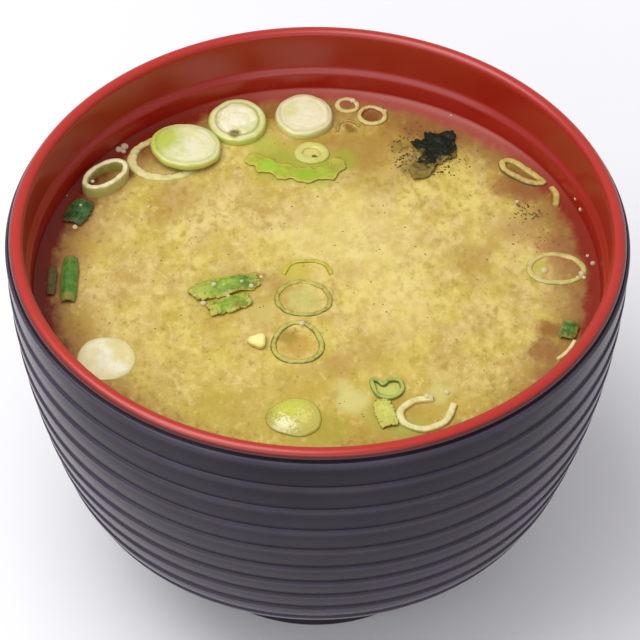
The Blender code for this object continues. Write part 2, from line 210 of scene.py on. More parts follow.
def new_finish(name, roughness, coat=0.0, coat_roughness=0.1, soft=0.0, soft_reach=1.0 * MM,
               gloss=0.5):
    """A material, its tree's Wire, its shader and its place on the object in millimetres."""
    material = bpy.data.materials.new(name)
    material.use_nodes = True
    wire = Wire(material.node_tree)
    shader = material.node_tree.nodes["Principled BSDF"]
    shader.inputs["Roughness"].default_value = roughness
    shader.inputs["Specular IOR Level"].default_value = gloss
    shader.inputs["Coat Weight"].default_value = coat
    shader.inputs["Coat Roughness"].default_value = coat_roughness
    shader.inputs["Subsurface Weight"].default_value = soft
    shader.inputs["Subsurface Scale"].default_value = soft_reach
    shader.inputs["Subsurface Radius"].default_value = (1.0, 0.8, 0.4)
    place = wire.add("ShaderNodeTexCoord", output="Object").scaled(1 / MM)
    return material, wire, shader, place


def feed(shader, socket, value):
    value.tree.links.new(value.socket, shader.inputs[socket])


def feed_bump(shader, height, strength, distance):
    bump = height.add("ShaderNodeBump", {}, {"Strength": strength, "Distance": distance,
                                             "Height": height})
    feed(shader, "Normal", bump)


table_size = 4.0
table_mesh = bpy.data.meshes.new("table")
table_shape = bmesh.new()
bmesh.ops.create_grid(table_shape, x_segments=2, y_segments=2, size=table_size / 2)
table_shape.to_mesh(table_mesh)
table_shape.free()
table = bpy.data.objects.new("table", table_mesh)
bpy.context.scene.collection.objects.link(table)
table_paper, wire, shader, place = new_finish("table_paper", 0.7)
grain = wire.noise(place, 0.02)
feed(shader, "Base Color", grain.mixed((0.92, 0.92, 0.93, 1.0), (0.94, 0.94, 0.945, 1.0)))
table_mesh.materials.append(table_paper)


# The bowl is one moulding in hard plastic, turned round one axis: satin
# charcoal outside with ten shallow ribs cut on the lathe, and red lacquer
# sprayed over the inside and the lip, down to a fine groove.
bowl_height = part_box("bowl")[1].z
lip_width = 2.7 * MM
lip_drop = 1.3 * MM
groove_depth = 0.45 * MM
groove_drop = 1.65 * MM
groove_lift = 0.12 * MM
groove_tilt = 0.1 * MM
groove_foot = 0.35 * MM
bowl_wall = 3.7 * MM
ledge_drop = 9.4 * MM
ledge_round = 1.0 * MM
foot_radius = 28.5 * MM
foot_width = 3.6 * MM
foot_taper = 0.8 * MM
foot_round = 0.6 * MM
foot_fillet = 0.8 * MM
recess_depth = 3.5 * MM
body_radius = lip_radius + 0.25 * MM
wall_arc_drop = 0.8 * MM
wall_arc_radius = 160.0 * MM
wall_arc_angle = radians(18.0)
shoulder_radius = 28.0 * MM
base_angle = radians(60.0)
rib_start = 1.2 * MM
rib_pitches = [6.4 * MM] * 5 + [5.6 * MM] * 5
rib_depth = 0.45 * MM
rib_crest = 0.06
rib_points = 18
rib_crowding = 2.0
bowl_sides = 256
weld_reach = 0.001 * MM
no_rib = -1.0

wall_centre = (body_radius - wall_arc_radius, bowl_height - wall_arc_drop)
shoulder_centre = (
    wall_centre[0] + (wall_arc_radius - shoulder_radius) * cos(wall_arc_angle),
    wall_centre[1] - (wall_arc_radius - shoulder_radius) * sin(wall_arc_angle),
)


def on_arc(centre, radius, angle):
    """A point on an arc; the angle is measured down from the outward radius."""
    return (centre[0] + radius * cos(angle), centre[1] - radius * sin(angle))


def arc_points(centre, radius, first, last, steps):
    return [on_arc(centre, radius, first + (last - first) * i / steps) for i in range(steps + 1)]


def outside_point(distance):
    """A point on the outside, at a distance along it from the wall's top."""
    angle = distance / wall_arc_radius
    if angle <= wall_arc_angle:
        return on_arc(wall_centre, wall_arc_radius, angle)
    beyond = distance - wall_arc_radius * wall_arc_angle
    return on_arc(shoulder_centre, shoulder_radius, wall_arc_angle + beyond / shoulder_radius)


def wall_radius(height, inset):
    drop = wall_centre[1] - height
    return wall_centre[0] + ((wall_arc_radius - inset) ** 2 - drop ** 2) ** 0.5


def eased(first, last, steps):
    """Points from first to last along an S, first and last left out."""
    points = []
    for i in range(1, steps):
        share = i / steps
        rise = share * share * (3 - 2 * share)
        points.append((first[0] + (last[0] - first[0]) * rise,
                       first[1] + (last[1] - first[1]) * share))
    return points


def cavity_points(inset, top, steps):
    """The inside from the axis up to the height top, moved in by inset."""
    shoulder = arc_points(shoulder_centre, shoulder_radius - inset, base_angle,
                          wall_arc_angle, steps)
    base_radius = shoulder[0][0] / cos(base_angle)
    base_centre = (0.0, shoulder[0][1] + base_radius * sin(base_angle))
    base = arc_points(base_centre, base_radius, pi / 2, base_angle, steps)
    base[0] = (0.0, base_centre[1] - base_radius)
    points = base + shoulder[1:]
    wall_low = points[-1][1]
    for i in range(1, steps + 1):
        height = wall_low + (top - wall_low) * i / steps
        points.append((wall_radius(height, inset), height))
    return points


def inside_of_bowl():
    """From the axis, up the wall, over the lid ledge and up to the lip."""
    shelf = bowl_height - ledge_drop
    points = cavity_points(bowl_wall, shelf - ledge_round, 10)
    upper = (lip_radius - lip_width, shelf + ledge_round)
    points += eased(points[-1], upper, 10)
    points.append(upper)
    wall_end = bowl_height - lip_drop
    for share in (0.35, 0.7):
        points.append((upper[0], upper[1] + (wall_end - upper[1]) * share))
    return points


def lip_points(steps=16):
    """The rounded lip, over its top and down to the groove's edge."""
    half = lip_width / 2
    points = []
    for i in range(steps + 1):
        angle = pi * (1 - i / steps)
        points.append((lip_radius - half + half * cos(angle),
                       bowl_height - lip_drop + lip_drop * sin(angle)))
    return points


def groove_points():
    """The fine groove where the red ends and the charcoal starts."""
    middle = bowl_height - groove_drop
    return [(lip_radius - groove_depth * 0.6, middle + groove_lift),
            (lip_radius - groove_depth, middle - groove_tilt),
            (lip_radius - groove_depth * 0.5, middle - groove_foot)]


def under_bowl(rib_end):
    """The plain round underside, the foot ring and its shallow recess."""
    first = wall_arc_angle + (rib_end - wall_arc_radius * wall_arc_angle) / shoulder_radius
    foot_top = foot_radius + foot_taper + foot_fillet
    last = acos((foot_top - shoulder_centre[0]) / shoulder_radius)
    points = arc_points(shoulder_centre, shoulder_radius, first, last, 12)[1:]
    top = points[-1][1]
    inner = foot_radius - foot_width
    recess = inner - foot_taper
    turn = cos(pi / 4)
    return points + [
        (foot_radius + foot_taper + foot_fillet * (1 - turn), top - foot_fillet * (1 - turn)),
        (foot_radius + foot_taper, top - foot_fillet),
        (foot_radius, foot_round),
        (foot_radius - foot_round * (1 - turn), foot_round * (1 - turn)),
        (foot_radius - foot_round, 0.0),
        (inner + foot_round, 0.0),
        (inner + foot_round * (1 - turn), foot_round * (1 - turn)),
        (inner, foot_round),
        (recess, recess_depth - foot_round),
        (recess - foot_round * (1 - turn), recess_depth - foot_round * (1 - turn)),
        (recess - foot_round, recess_depth),
        (recess * 0.5, recess_depth),
        (0.0, recess_depth),
    ]


def profile_mesh(name, points, marks):
    """A half outline in the XZ plane, with number attributes on its points."""
    mesh = bpy.data.meshes.new(name)
    mesh.from_pydata([(radius, 0.0, height) for radius, height in points], [], [])
    for mark, values in marks.items():
        mesh.attributes.new(mark, "FLOAT", "POINT").data.foreach_set("value", values)
    return mesh


def new_tree(name, floats, **others):
    """A geometry tree with named inputs; returns it and a Wire for each input."""
    kinds = {"Geometry": "Geometry", **dict.fromkeys(floats, "Float"), **others}
    tree = bpy.data.node_groups.new(name, "GeometryNodeTree")
    for label, kind in kinds.items():
        tree.interface.new_socket(label, in_out="INPUT", socket_type="NodeSocket" + kind)
    tree.interface.new_socket("Geometry", in_out="OUTPUT", socket_type="NodeSocketGeometry")
    entry = Wire(tree).add("NodeGroupInput")
    return tree, {label: entry.other(label) for label in kinds}


def end_tree(geometry):
    """Ends a geometry tree with what it grew."""
    last = geometry.tree.nodes.new("NodeGroupOutput")
    geometry.tree.links.new(geometry.socket, last.inputs[0])


def dressed(geometry, material):
    """The last steps of every tree: no instances, smooth faces, one material."""
    plain = geometry.then("GeometryNodeRealizeInstances")
    shaded = plain.then("GeometryNodeSetShadeSmooth", {"Shade Smooth": True})
    return shaded.then("GeometryNodeSetMaterial", {"Material": material})


def run_tree(name, mesh, tree, sizes):
    """Grows a piece on a base mesh with a geometry tree and keeps the plain result."""
    piece = bpy.data.objects.new(name, mesh)
    bpy.context.scene.collection.objects.link(piece)
    modifier = piece.modifiers.new("Shape", "NODES")
    modifier.node_group = tree
    labels = {item.name: item.identifier for item in tree.interface.items_tree
              if item.in_out == "INPUT"}
    for label, value in sizes.items():
        modifier[labels[label]] = value
    bpy.context.view_layer.update()
    grown = piece.evaluated_get(bpy.context.evaluated_depsgraph_get())
    result = bpy.data.meshes.new_from_object(grown)
    piece.modifiers.remove(modifier)
    piece.data = result
    result.name = name
    return piece


def face_outwards(piece):
    """Turns every face of a closed shell outwards."""
    shell = bmesh.new()
    shell.from_mesh(piece.data)
    bmesh.ops.recalc_face_normals(shell, faces=shell.faces)
    shell.to_mesh(piece.data)
    shell.free()


def lathe_nodes(given):
    """Turns the half outline in Geometry round the Z axis, one row for each point."""
    blank = given["Rows"].add("GeometryNodeMeshGrid", {}, {
        "Size X": 1.0, "Size Y": 1.0,
        "Vertices X": given["Sides"] + 1, "Vertices Y": given["Rows"]})
    position = blank.add("GeometryNodeInputPosition")
    along, up, _ = position.parts()
    turn = (along + 0.5) * (2 * pi)
    row = (up + 0.5) * (given["Rows"] - 1)
    row = row.maths("ROUND", row)

    def from_outline(value, kind):
        return given["Geometry"].then("GeometryNodeSampleIndex", {"Value": value, "Index": row},
                                      {"data_type": kind})

    marked = blank.keep("rib", from_outline(blank.kept("rib"), "FLOAT"))
    marked = marked.keep("inside", from_outline(marked.kept("inside"), "FLOAT"))
    radius, _, height = from_outline(position, "FLOAT_VECTOR").parts()
    turned = radius.vector(radius * turn.maths("COSINE", turn),
                           radius * turn.maths("SINE", turn), height)
    shape = marked.then("GeometryNodeSetPosition", {"Position": turned})
    return shape.then("GeometryNodeMergeByDistance", {"Distance": weld_reach})


def read(wire, mark):
    """A number that the piece's own shape carries."""
    return wire.add("ShaderNodeAttribute", {"attribute_name": mark}, output=2)


lathe_tree, given = new_tree("Turn and rib a bowl", ["Rib depth", "Rib crest"], Rows="Int",
                             Sides="Int", Outside="Material", Inside="Material")
turned = lathe_nodes(given)
rib = turned.kept("rib")
down = rib.maths("FRACT", rib)
crest = given["Rib crest"]
over = down.maths("MAXIMUM", (crest - down) / crest, (down - crest) / (1 - crest))
bulge = (1 - over * over) * given["Rib depth"] * (rib > -0.5)
normal = turned.add("GeometryNodeInputNormal")
ribbed = turned.then("GeometryNodeSetPosition", {"Offset": normal.scaled(-1 * bulge)})
dressed_outside = dressed(ribbed, given["Outside"])
inside = turned.kept("inside")
end_tree(dressed_outside.then("GeometryNodeSetMaterial", {
    "Selection": inside > 0.5, "Material": given["Inside"]}))

charcoal_shell, wire, shader, place = new_finish("charcoal_shell", 0.26, gloss=0.1)
smudges_and_highlight_noise = wire.noise(place, 0.05, detail=4.0, roughness=0.6)
charcoal = smudges_and_highlight_noise.between(0.3, 0.7).mixed((33, 29, 39), (42, 37, 48))
rib = read(wire, "rib")
down = rib.maths("FRACT", rib)
on_rib = rib > -0.5
# Painted shade: the lower half of each rib band is painted darker, where the band turns down away
# from the light.
charcoal = (down.between(0.5, 1.0) * on_rib * 0.6).mixed(charcoal, (28, 24, 34))
# Painted highlight: a lighter line along the top of each rib band, where its crest catches the
# light, broken up by the smudge noise.
painted_crest_highlight = (1 - down.between(0.0, 0.4)) ** 2.0 * on_rib
charcoal = (painted_crest_highlight * (0.25 + 0.7 * smudges_and_highlight_noise)).mixed(charcoal, (86, 79, 92))
feed(shader, "Base Color", charcoal)
feed(shader, "Roughness", 0.22 + 0.08 * wire.noise(place, 0.12, detail=3.0, seed=2.0))
shader.inputs["Sheen Weight"].default_value = 0.28
shader.inputs["Sheen Roughness"].default_value = 0.25
shader.inputs["Sheen Tint"].default_value = (0.95, 0.88, 1.0, 1.0)
stretched = place.then("ShaderNodeMapping", {"Scale": (0.05, 0.05, 6.0)})
feed_bump(shader, wire.noise(stretched, 1.0, detail=3.0), 0.06, 0.2 * MM)

red_lacquer, wire, shader, place = new_finish("red_lacquer", 0.3, gloss=0.6)
shift = wire.noise(place, 0.04, detail=2.0)
lacquer = shift.mixed((168, 32, 14), (184, 40, 19))
x, y, z = place.parts()
outer_side = (x * x + y * y) ** 0.5 > (lip_radius - lip_width / 2) / MM
drop = bowl_height / MM - z
# Painted shade: the inner flank of the lip is painted a darker red, where the rounded lip turns
# away from the light.
inner_flank_shade = (1 - outer_side) * drop.between(0.05, 0.7)
lacquer = (inner_flank_shade * 0.75).mixed(lacquer, (142, 20, 8))
# Painted shade: the outer flank of the lip, which faces down, is painted nearly black red down to
# the groove.
outer_flank_shade = outer_side * drop.between(0.12, 0.8) * 0.94
feed(shader, "Base Color", outer_flank_shade.mixed(lacquer, (68, 9, 8)))
feed_bump(shader, wire.noise(place, 0.35, detail=1.0), 0.05, 0.3 * MM)

outline = inside_of_bowl() + lip_points()
red_end = len(outline)
outline += groove_points()
rib_marks = [no_rib] * len(outline)
distance = rib_start
for count, pitch in enumerate(rib_pitches):
    for i in range(rib_points):
        share = (i / rib_points) ** rib_crowding
        outline.append(outside_point(distance + pitch * share))
        rib_marks.append(count + share)
    distance += pitch
outline.append(outside_point(distance))
outline += under_bowl(distance)
rib_marks += [no_rib] * (len(outline) - len(rib_marks))
inside_marks = [1.0] * red_end + [0.0] * (len(outline) - red_end)

half_bowl = profile_mesh("bowl_outline", outline, {"rib": rib_marks, "inside": inside_marks})
bowl = run_tree("bowl_moulding", half_bowl, lathe_tree, {
    "Rows": len(outline), "Sides": bowl_sides, "Rib depth": rib_depth, "Rib crest": rib_crest,
    "Outside": charcoal_shell, "Inside": red_lacquer})
face_outwards(bowl)
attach(bowl, "root")
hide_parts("bowl")


# Everything that floats is kept in one collection, so that the soup can be
# poured round it at the end. Its pieces stand where the CAD nodes are.
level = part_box("soup")[1].z
floating = bpy.data.collections.new("floating")
bpy.context.scene.collection.children.link(floating)


def float_piece(piece, node):
    """Sets a finished piece afloat in the place of its CAD node."""
    floating.objects.link(piece)
    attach(piece, "root")
    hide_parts(node)


# Thick slices of the white scallion stem: tight rings of flesh one inside the
# other in a thin yellow-green skin, cut straight across with a knife.
slice_sides, slice_rows = 96, 60
slice_waver = 0.16
layer_waver = 0.25
layer_depth = 0.07 * MM
edge_sharpness = 26.0
flesh_grain = 0.3 * MM
slice_tree, given = new_tree("Stem slice", [
    "Centre X", "Centre Y", "Centre Z", "Radius X", "Radius Y", "Height", "Tilt", "Corners",
    "Layers", "Layer depth", "Seed"], Material="Material")
blank = given["Geometry"].add("GeometryNodeMeshGrid", {}, {
    "Size X": 1.0, "Size Y": 2.0, "Vertices X": slice_sides + 1, "Vertices Y": slice_rows + 1})
along, face, _ = blank.add("GeometryNodeInputPosition").parts()
turn = along * (2 * pi)
east, north = turn.maths("COSINE", turn), turn.maths("SINE", turn)
wobble = east.noise(east.vector(east, north, 0.0), 1.3, detail=1.0, seed=given["Seed"]) - 0.5
reach = 1 - face * face
corner = turn.maths("COSINE", turn * 3.0 + given["Seed"])
swell = 1 + slice_waver * wobble + given["Corners"] * corner
ring = reach * given["Layers"] * (1 + layer_waver * wobble) + 0.6 * wobble
groove = ring.maths("FRACT", ring)
groove = (groove.maths("ABSOLUTE", groove - 0.5) * 2.0) ** 4.0
edge = reach ** edge_sharpness
rise = face.maths("SQRT", 1 - edge) * face.maths("SIGN", face) * 0.5 * given["Height"]
grain = east.noise(east.vector(east * reach, north * reach, 0.0), 3.0, detail=2.0,
                   seed=given["Seed"] + 3.0) - 0.5
relief = ((groove * reach.between(0.1, 0.4) * given["Layer depth"] - grain * flesh_grain)
          * (face > 0.0) * (1 - edge))
x = reach * east * swell * given["Radius X"]
y = reach * north * swell * given["Radius Y"]
z = rise - relief + x * given["Tilt"]
shape = x.vector(x + given["Centre X"], y + given["Centre Y"], z + given["Centre Z"])
marked = blank.keep("reach", reach).keep("ring", ring).keep("face", face)
placed = marked.then("GeometryNodeSetPosition", {"Position": shape})
welded = placed.then("GeometryNodeMergeByDistance", {"Distance": weld_reach})
end_tree(dressed(welded, given["Material"]))


def patch(place, east, north, radius, raggedness):
    """1 inside a ragged round patch and 0 outside it; all in millimetres."""
    x, y, _ = place.parts()
    apart = ((x - east) ** 2.0 + (y - north) ** 2.0) ** 0.5
    return (1 - apart / radius + raggedness).between(0.0, 0.7)


def stem_flesh(name, core, flesh, skin, skin_from=0.86, lines=0.3, mottle=0.0, patches=()):
    """Wet white flesh in rings with patches of other tints, in a thin green skin. Two patches are
    painted light: a highlight on the front slice and a shaded hole on the back-left slice.
    """
    material, wire, shader, place = new_finish(name, 0.3, coat=0.3, coat_roughness=0.1,
                                               soft=0.25, soft_reach=1.5 * MM)
    reach, ring, face = read(wire, "reach"), read(wire, "ring"), read(wire, "face")
    line = ring.maths("FRACT", ring)
    line = (line.maths("ABSOLUTE", line - 0.5) * 2).between(0.6, 1.0) * reach.between(0.1, 0.4)
    cloud = wire.noise(place, 0.35, detail=3.0, roughness=0.6)
    colour = (cloud + reach * 0.35).between(0.45, 0.85).mixed(core, flesh)
    specks = wire.noise(place, 1.6, detail=3.0, roughness=0.7, seed=3.0)
    raggedness = (cloud - 0.5) * 0.9 + (specks - 0.5) * mottle
    for east, north, radius, tint, strength in patches:
        share = patch(place, east, north, radius, raggedness)
        colour = (share * strength).mixed(colour, tint)
    colour = (specks.between(0.52, 0.75) * 0.35).mixed(colour, skin)
    colour = (line * lines * reach).mixed(colour, skin)
    outward = reach + 0.16 * (cloud - 0.5)
    gap = (outward.between(skin_from - 0.1, skin_from)
           * (1 - outward.between(skin_from, skin_from + 0.08)))
    colour = (gap * lines * 1.3).mixed(colour, (150, 148, 62))
    colour = (outward.between(skin_from + 0.02, 0.97) * 0.6).mixed(colour, skin)
    rim = (reach + 0.12 * (cloud - 0.5)).between(0.93, 0.99)
    side = 1 - face.between(-0.1, 0.12)
    feed(shader, "Base Color", rim.maths("MAXIMUM", rim * 0.75, side * 0.9).mixed(colour, skin))
    feed_bump(shader, wire.noise(place, 2.2, detail=2.0), 0.12, 0.2 * MM)
    return material


# Slices by node: the name of the flesh, the slot, the number of layers, a seed,
# how far it is from round, its tilt, and what stem_flesh takes, in millimetres.
stem_slices = [
    ("scallion_round_left", "left_stem", "scallion_white", 4.0, 3.0, 0.0, 0.07, {
        "core": (232, 228, 196), "flesh": (226, 224, 170), "skin": (190, 196, 88),
        "patches": [(-31.6, 35.8, 7.2, (184, 198, 72), 0.95)]}),
    ("scallion_round_back_left", "back_left_stem", "scallion_white", 3.0, 8.0, 0.0, 0.0, {
        "core": (246, 244, 226), "flesh": (228, 226, 168), "skin": (184, 194, 80),
        "skin_from": 0.74, "lines": 0.5,
        # The dark brown patch is painted shade, for a hole in the slice that the mesh does not
        # have.
        "patches": [(-16.6, 39.2, 1.7, (96, 74, 38), 0.95),
                    (-12.6, 41.0, 3.2, (184, 196, 78), 0.5)]}),
    ("scallion_round_back", "back_stem", "scallion_white", 3.0, 13.0, 0.0, 0.0, {
        "core": (234, 230, 198), "flesh": (228, 222, 180), "skin": (204, 200, 122),
        "patches": [(-5.6, 46.4, 2.6, (206, 210, 118), 0.55)]}),
    ("scallion_round_front_left", "front_left_stem", "scallion_white", 3.0, 21.0, 0.0, 0.0, {
        "core": (238, 236, 212), "flesh": (226, 216, 162), "skin": (206, 190, 108),
        "lines": 0.1,
        "patches": [(-34.6, -19.4, 4.8, (222, 206, 134), 0.8),
                    (-37.6, -16.4, 3.0, (216, 200, 132), 0.6)]}),
    ("scallion_round_front", "front_stem", "scallion_pale_green", 3.0, 34.0, 0.05, 0.0, {
        "core": (190, 184, 72), "flesh": (194, 184, 82), "skin": (160, 150, 48),
        "skin_from": 0.8, "lines": 0.2, "mottle": 4.0,
        "patches": [(-5.0, -33.4, 4.6, (204, 206, 60), 0.85),
                    (-9.8, -35.0, 2.6, (150, 136, 44), 0.7),
                    # The near-white patch is a painted highlight.
                    (-5.6, -37.0, 2.7, (246, 244, 190), 0.9),
                    (-2.2, -35.0, 2.2, (222, 214, 116), 0.8)]}),
    ("scallion_chip", "chip_stem", "scallion_white", 1.0, 41.0, 0.16, 0.0, {
        "core": (244, 236, 164), "flesh": (232, 222, 130), "skin": (206, 190, 98)}),
]
for node, flesh_name, slot, layers, seed, corners, tilt, flesh in stem_slices:
    low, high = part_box(node)
    middle = (low + high) / 2
    size = high - low
    piece = run_tree(node.replace("scallion", "cut"), bpy.data.meshes.new(node), slice_tree, {
        "Centre X": middle.x, "Centre Y": middle.y, "Centre Z": middle.z,
        "Radius X": size.x / 2, "Radius Y": size.y / 2,
        "Height": size.z - abs(tilt) * size.x, "Tilt": -tilt, "Corners": corners,
        "Layers": layers, "Layer depth": layer_depth, "Seed": seed,
        "Material": stem_flesh(flesh_name, **flesh)})
    face_outwards(piece)
    float_piece(piece, node)


# Hollow slices of the green part, and open curls of the same: a thin juicy
# wall with a darker skin on each side, standing on edge in the soup.
wall_sides = 24
wall_squareness = 0.45
thick_and_thin = 1.1
girth_change = 0.26 / MM
lump_change = 0.7 / MM
wall_tree, given = new_tree("Scallion wall", [
    "Wall", "Height", "Middle Z", "Unevenness", "Thick and thin", "Seed"], Material="Material")
path = given["Geometry"].then("GeometryNodeMeshToCurve")
path = path.then("GeometryNodeSetCurveNormal", {}, {"mode": "Z_UP"})
at = path.add("GeometryNodeInputPosition")
girth = at.noise(at, girth_change, detail=1.0, seed=given["Seed"] + 5.0) - 0.5
path = path.then("GeometryNodeSetCurveRadius", {"Radius": 1 + girth * given["Thick and thin"]})
section = path.add("GeometryNodeCurvePrimitiveCircle", {}, {
    "Resolution": wall_sides, "Radius": 1.0})
across, up, _ = section.add("GeometryNodeInputPosition").parts()


def squared(value):
    """Pushes a circle's coordinate out towards a box with round corners."""
    return value.maths("SIGN", value) * value.maths("ABSOLUTE", value) ** wall_squareness


across, up = squared(across), squared(up)
section = section.keep("across", across).keep("up", up)
squarish = across.vector(across * given["Wall"] * 0.5, up * given["Height"] * 0.5, 0.0)
section = section.then("GeometryNodeSetPosition", {"Position": squarish})
strip = path.then("GeometryNodeCurveToMesh", {"Profile Curve": section, "Fill Caps": True})
at = strip.add("GeometryNodeInputPosition")
lumps = at.noise(at, lump_change, detail=2.0, seed=given["Seed"]).other("Color")
lumps = lumps.then("ShaderNodeVectorMath", {1: (0.5, 0.5, 0.5)}, {"operation": "SUBTRACT"})
lift = at.vector(0.0, 0.0, given["Middle Z"])
lumps = lumps.scaled(given["Unevenness"]).then("ShaderNodeVectorMath", {1: lift},
                                               {"operation": "ADD"})
strip = strip.then("GeometryNodeSetPosition", {"Offset": lumps})
end_tree(dressed(strip, given["Material"]))


def path_mesh(points, closed):
    """A line of edges through points in the XY plane."""
    mesh = bpy.data.meshes.new("path")
    edges = [(i, i + 1) for i in range(len(points) - 1)]
    if closed:
        edges.append((len(points) - 1, 0))
    mesh.from_pydata([(x, y, 0.0) for x, y in points], edges, [])
    return mesh


def loop_path(centre, radii, turn=0.0, waves=(), steps=72):
    """A closed loop; waves are (count, share of the radius, phase)."""
    points = []
    for i in range(steps):
        angle = 2 * pi * i / steps
        scale = 1 + sum(share * cos(count * angle + phase) for count, share, phase in waves)
        along = Vector((radii[0] * cos(angle) * scale, radii[1] * sin(angle) * scale))
        along.rotate(Matrix.Rotation(radians(turn), 2))
        points.append((centre[0] + along.x, centre[1] + along.y))
    return points


def smooth_path(knots, closed=False, steps=8):
    """A Catmull-Rom line through knots in millimetres, in metres."""
    count = len(knots)
    points = []
    for i in range(count if closed else count - 1):
        around = []
        for offset in (-1, 0, 1, 2):
            index = (i + offset) % count if closed else min(max(i + offset, 0), count - 1)
            around.append(Vector(knots[index]) * MM)
        before, start, end, after = around
        for j in range(steps):
            t = j / steps
            points.append(tuple(0.5 * (2 * start + (end - before) * t
                                       + (2 * before - 5 * start + 4 * end - after) * t ** 2
                                       + (3 * start - before - 3 * end + after) * t ** 3)))
    if not closed:
        points.append((knots[-1][0] * MM, knots[-1][1] * MM))
    return points


def ring_flesh(name, skin, flesh, lining, skin_reach=0.35):
    """A juicy wall: skin on its outer side, lining on its inner side, flesh between."""
    material, wire, shader, place = new_finish(name, 0.28, coat=0.2, coat_roughness=0.08,
                                               soft=0.08, soft_reach=1.0 * MM)
    across = read(wire, "across")
    cloud = wire.noise(place, 0.6, detail=3.0, roughness=0.65)
    shade = (cloud - 0.5) * 1.1
    inner = (shade - across).between(skin_reach, 1.0)
    outer = (across + shade).between(skin_reach, 1.0)
    pale = cloud.between(0.3, 0.75).mixed(flesh, skin)
    colour = (0.35 + 0.65 * (1 - cloud.between(0.35, 0.7))).mixed(pale, flesh)
    feed(shader, "Base Color", outer.mixed(inner.mixed(colour, lining), skin))
    feed_bump(shader, wire.noise(place, 2.5, detail=2.0), 0.15, 0.2 * MM)
    return material


# Walls by name: skin, flesh, lining, and where the skin starts when not at 0.35.
wall_shades = {
    "pale_ring": ((176, 168, 88), (222, 212, 148), (150, 112, 60)),
    "tube_wall": ((182, 178, 100), (230, 222, 178), (158, 152, 70)),
    "small_ring": ((176, 178, 66), (206, 202, 112), (206, 196, 112)),
    "thin_ring": ((170, 150, 70), (214, 196, 128), (146, 84, 50)),
    "line_ring": ((112, 106, 30), (184, 176, 72), (146, 138, 50)),
    "clear_ring": ((158, 160, 56), (206, 190, 120), (190, 166, 88)),
    "olive_ring": ((88, 96, 26), (192, 182, 84), (104, 106, 34), 0.3),
    "green_ring": ((96, 118, 34), (172, 184, 84), (116, 136, 44), 0.25),
    "fold_ring": ((144, 132, 40), (204, 184, 104), (104, 84, 30)),
    "cream_curl": ((186, 186, 96), (230, 220, 160), (208, 194, 112)),
    "brown_curl": ((140, 112, 44), (176, 146, 66), (126, 92, 36)),
    "yellow_curl": ((150, 140, 34), (198, 186, 58), (176, 164, 52)),
}
walls = {name: ring_flesh(name, *shades) for name, shades in wall_shades.items()}

# Loops by node: wall and unevenness in millimetres, waves of the radius, and wall.
soft_waves = ((2, 0.03, 0.6), (3, 0.02, 1.3))
loops = [
    ("scallion_ring_left", 2.2, 0.3, soft_waves, "pale_ring"),
    ("scallion_ring_small", 1.8, 0.3, soft_waves, "small_ring"),
    ("scallion_ring_back_a", 1.1, 0.4, soft_waves, "thin_ring"),
    ("scallion_ring_back_b", 1.1, 0.4, soft_waves, "thin_ring"),
    ("scallion_ring_middle", 1.0, 0.6, soft_waves, "line_ring"),
    ("scallion_ring_right", 1.2, 0.6, soft_waves, "clear_ring"),
    ("scallion_ring_olive", 1.2, 0.4, ((3, 0.05, pi / 2),), "olive_ring"),
]
standing = []
for node, wall, uneven, waves, flesh in loops:
    low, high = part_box(node)
    radii = ((high.x - low.x - wall * MM) / 2, (high.y - low.y - wall * MM) / 2)
    path = loop_path((low + high) / 2, radii, waves=waves)
    standing.append((node, path, True, wall, uneven, flesh))
low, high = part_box("scallion_tube")
tube_radii = (4.7 * MM, 2.6 * MM)
tube_path = loop_path((low + high) / 2, tube_radii, turn=45.0)
standing.append(("scallion_tube", tube_path, True, 1.3, 0.4, "tube_wall"))
curls = [
    ("scallion_ring_kidney", True, 0.9, 0.3, "green_ring", [
        (10.2, -26.0), (11.4, -26.1), (12.4, -27.0), (13.4, -25.9), (15.4, -26.0),
        (15.8, -28.4), (14.0, -30.2), (11.4, -29.6)]),
    ("scallion_ring_folded", True, 1.5, 0.4, "fold_ring", [
        (35.9, 33.3), (38.0, 33.4), (41.1, 30.4), (43.6, 27.6), (41.2, 27.5), (38.1, 29.3),
        (36.1, 31.2)]),
    ("scallion_curl_front", False, 1.5, 0.5, "cream_curl", [
        (21.4, -30.4), (18.0, -31.0), (15.5, -33.6), (16.2, -36.6), (19.8, -38.0),
        (23.6, -36.0), (25.2, -31.8)]),
    ("scallion_arch_middle", False, 0.9, 0.6, "yellow_curl", [
        (-6.4, 1.6), (-5.0, 4.4), (-1.8, 5.4), (1.4, 4.5), (2.6, 1.8)]),
    ("scallion_arc_back", False, 0.7, 0.5, "brown_curl", [
        (3.6, 41.6), (4.0, 44.0), (6.0, 44.9), (8.0, 43.2)]),
    ("scallion_tail_right", False, 1.5, 0.4, "fold_ring", [
        (45.2, 26.2), (46.0, 24.0), (45.8, 21.0)]),
    ("scallion_strip_right", False, 0.9, 0.3, "cream_curl", [
        (44.6, -20.0), (46.6, -17.8), (48.0, -15.2)]),
]
for node, closed, wall, uneven, flesh, knots in curls:
    standing.append((node, smooth_path(knots, closed), closed, wall, uneven, flesh))
first_wall_seed = 10.0
for count, (node, points, closed, wall, uneven, flesh) in enumerate(standing):
    low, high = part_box(node)
    piece = run_tree(node.replace("scallion", "cut"), path_mesh(points, closed), wall_tree, {
        "Wall": wall * MM, "Height": high.z - low.z, "Middle Z": (low.z + high.z) / 2,
        "Unevenness": uneven * MM, "Thick and thin": thick_and_thin,
        "Seed": first_wall_seed + count, "Material": walls[flesh]})
    dark = flesh in ("olive_ring", "green_ring")
    float_piece(piece, node)


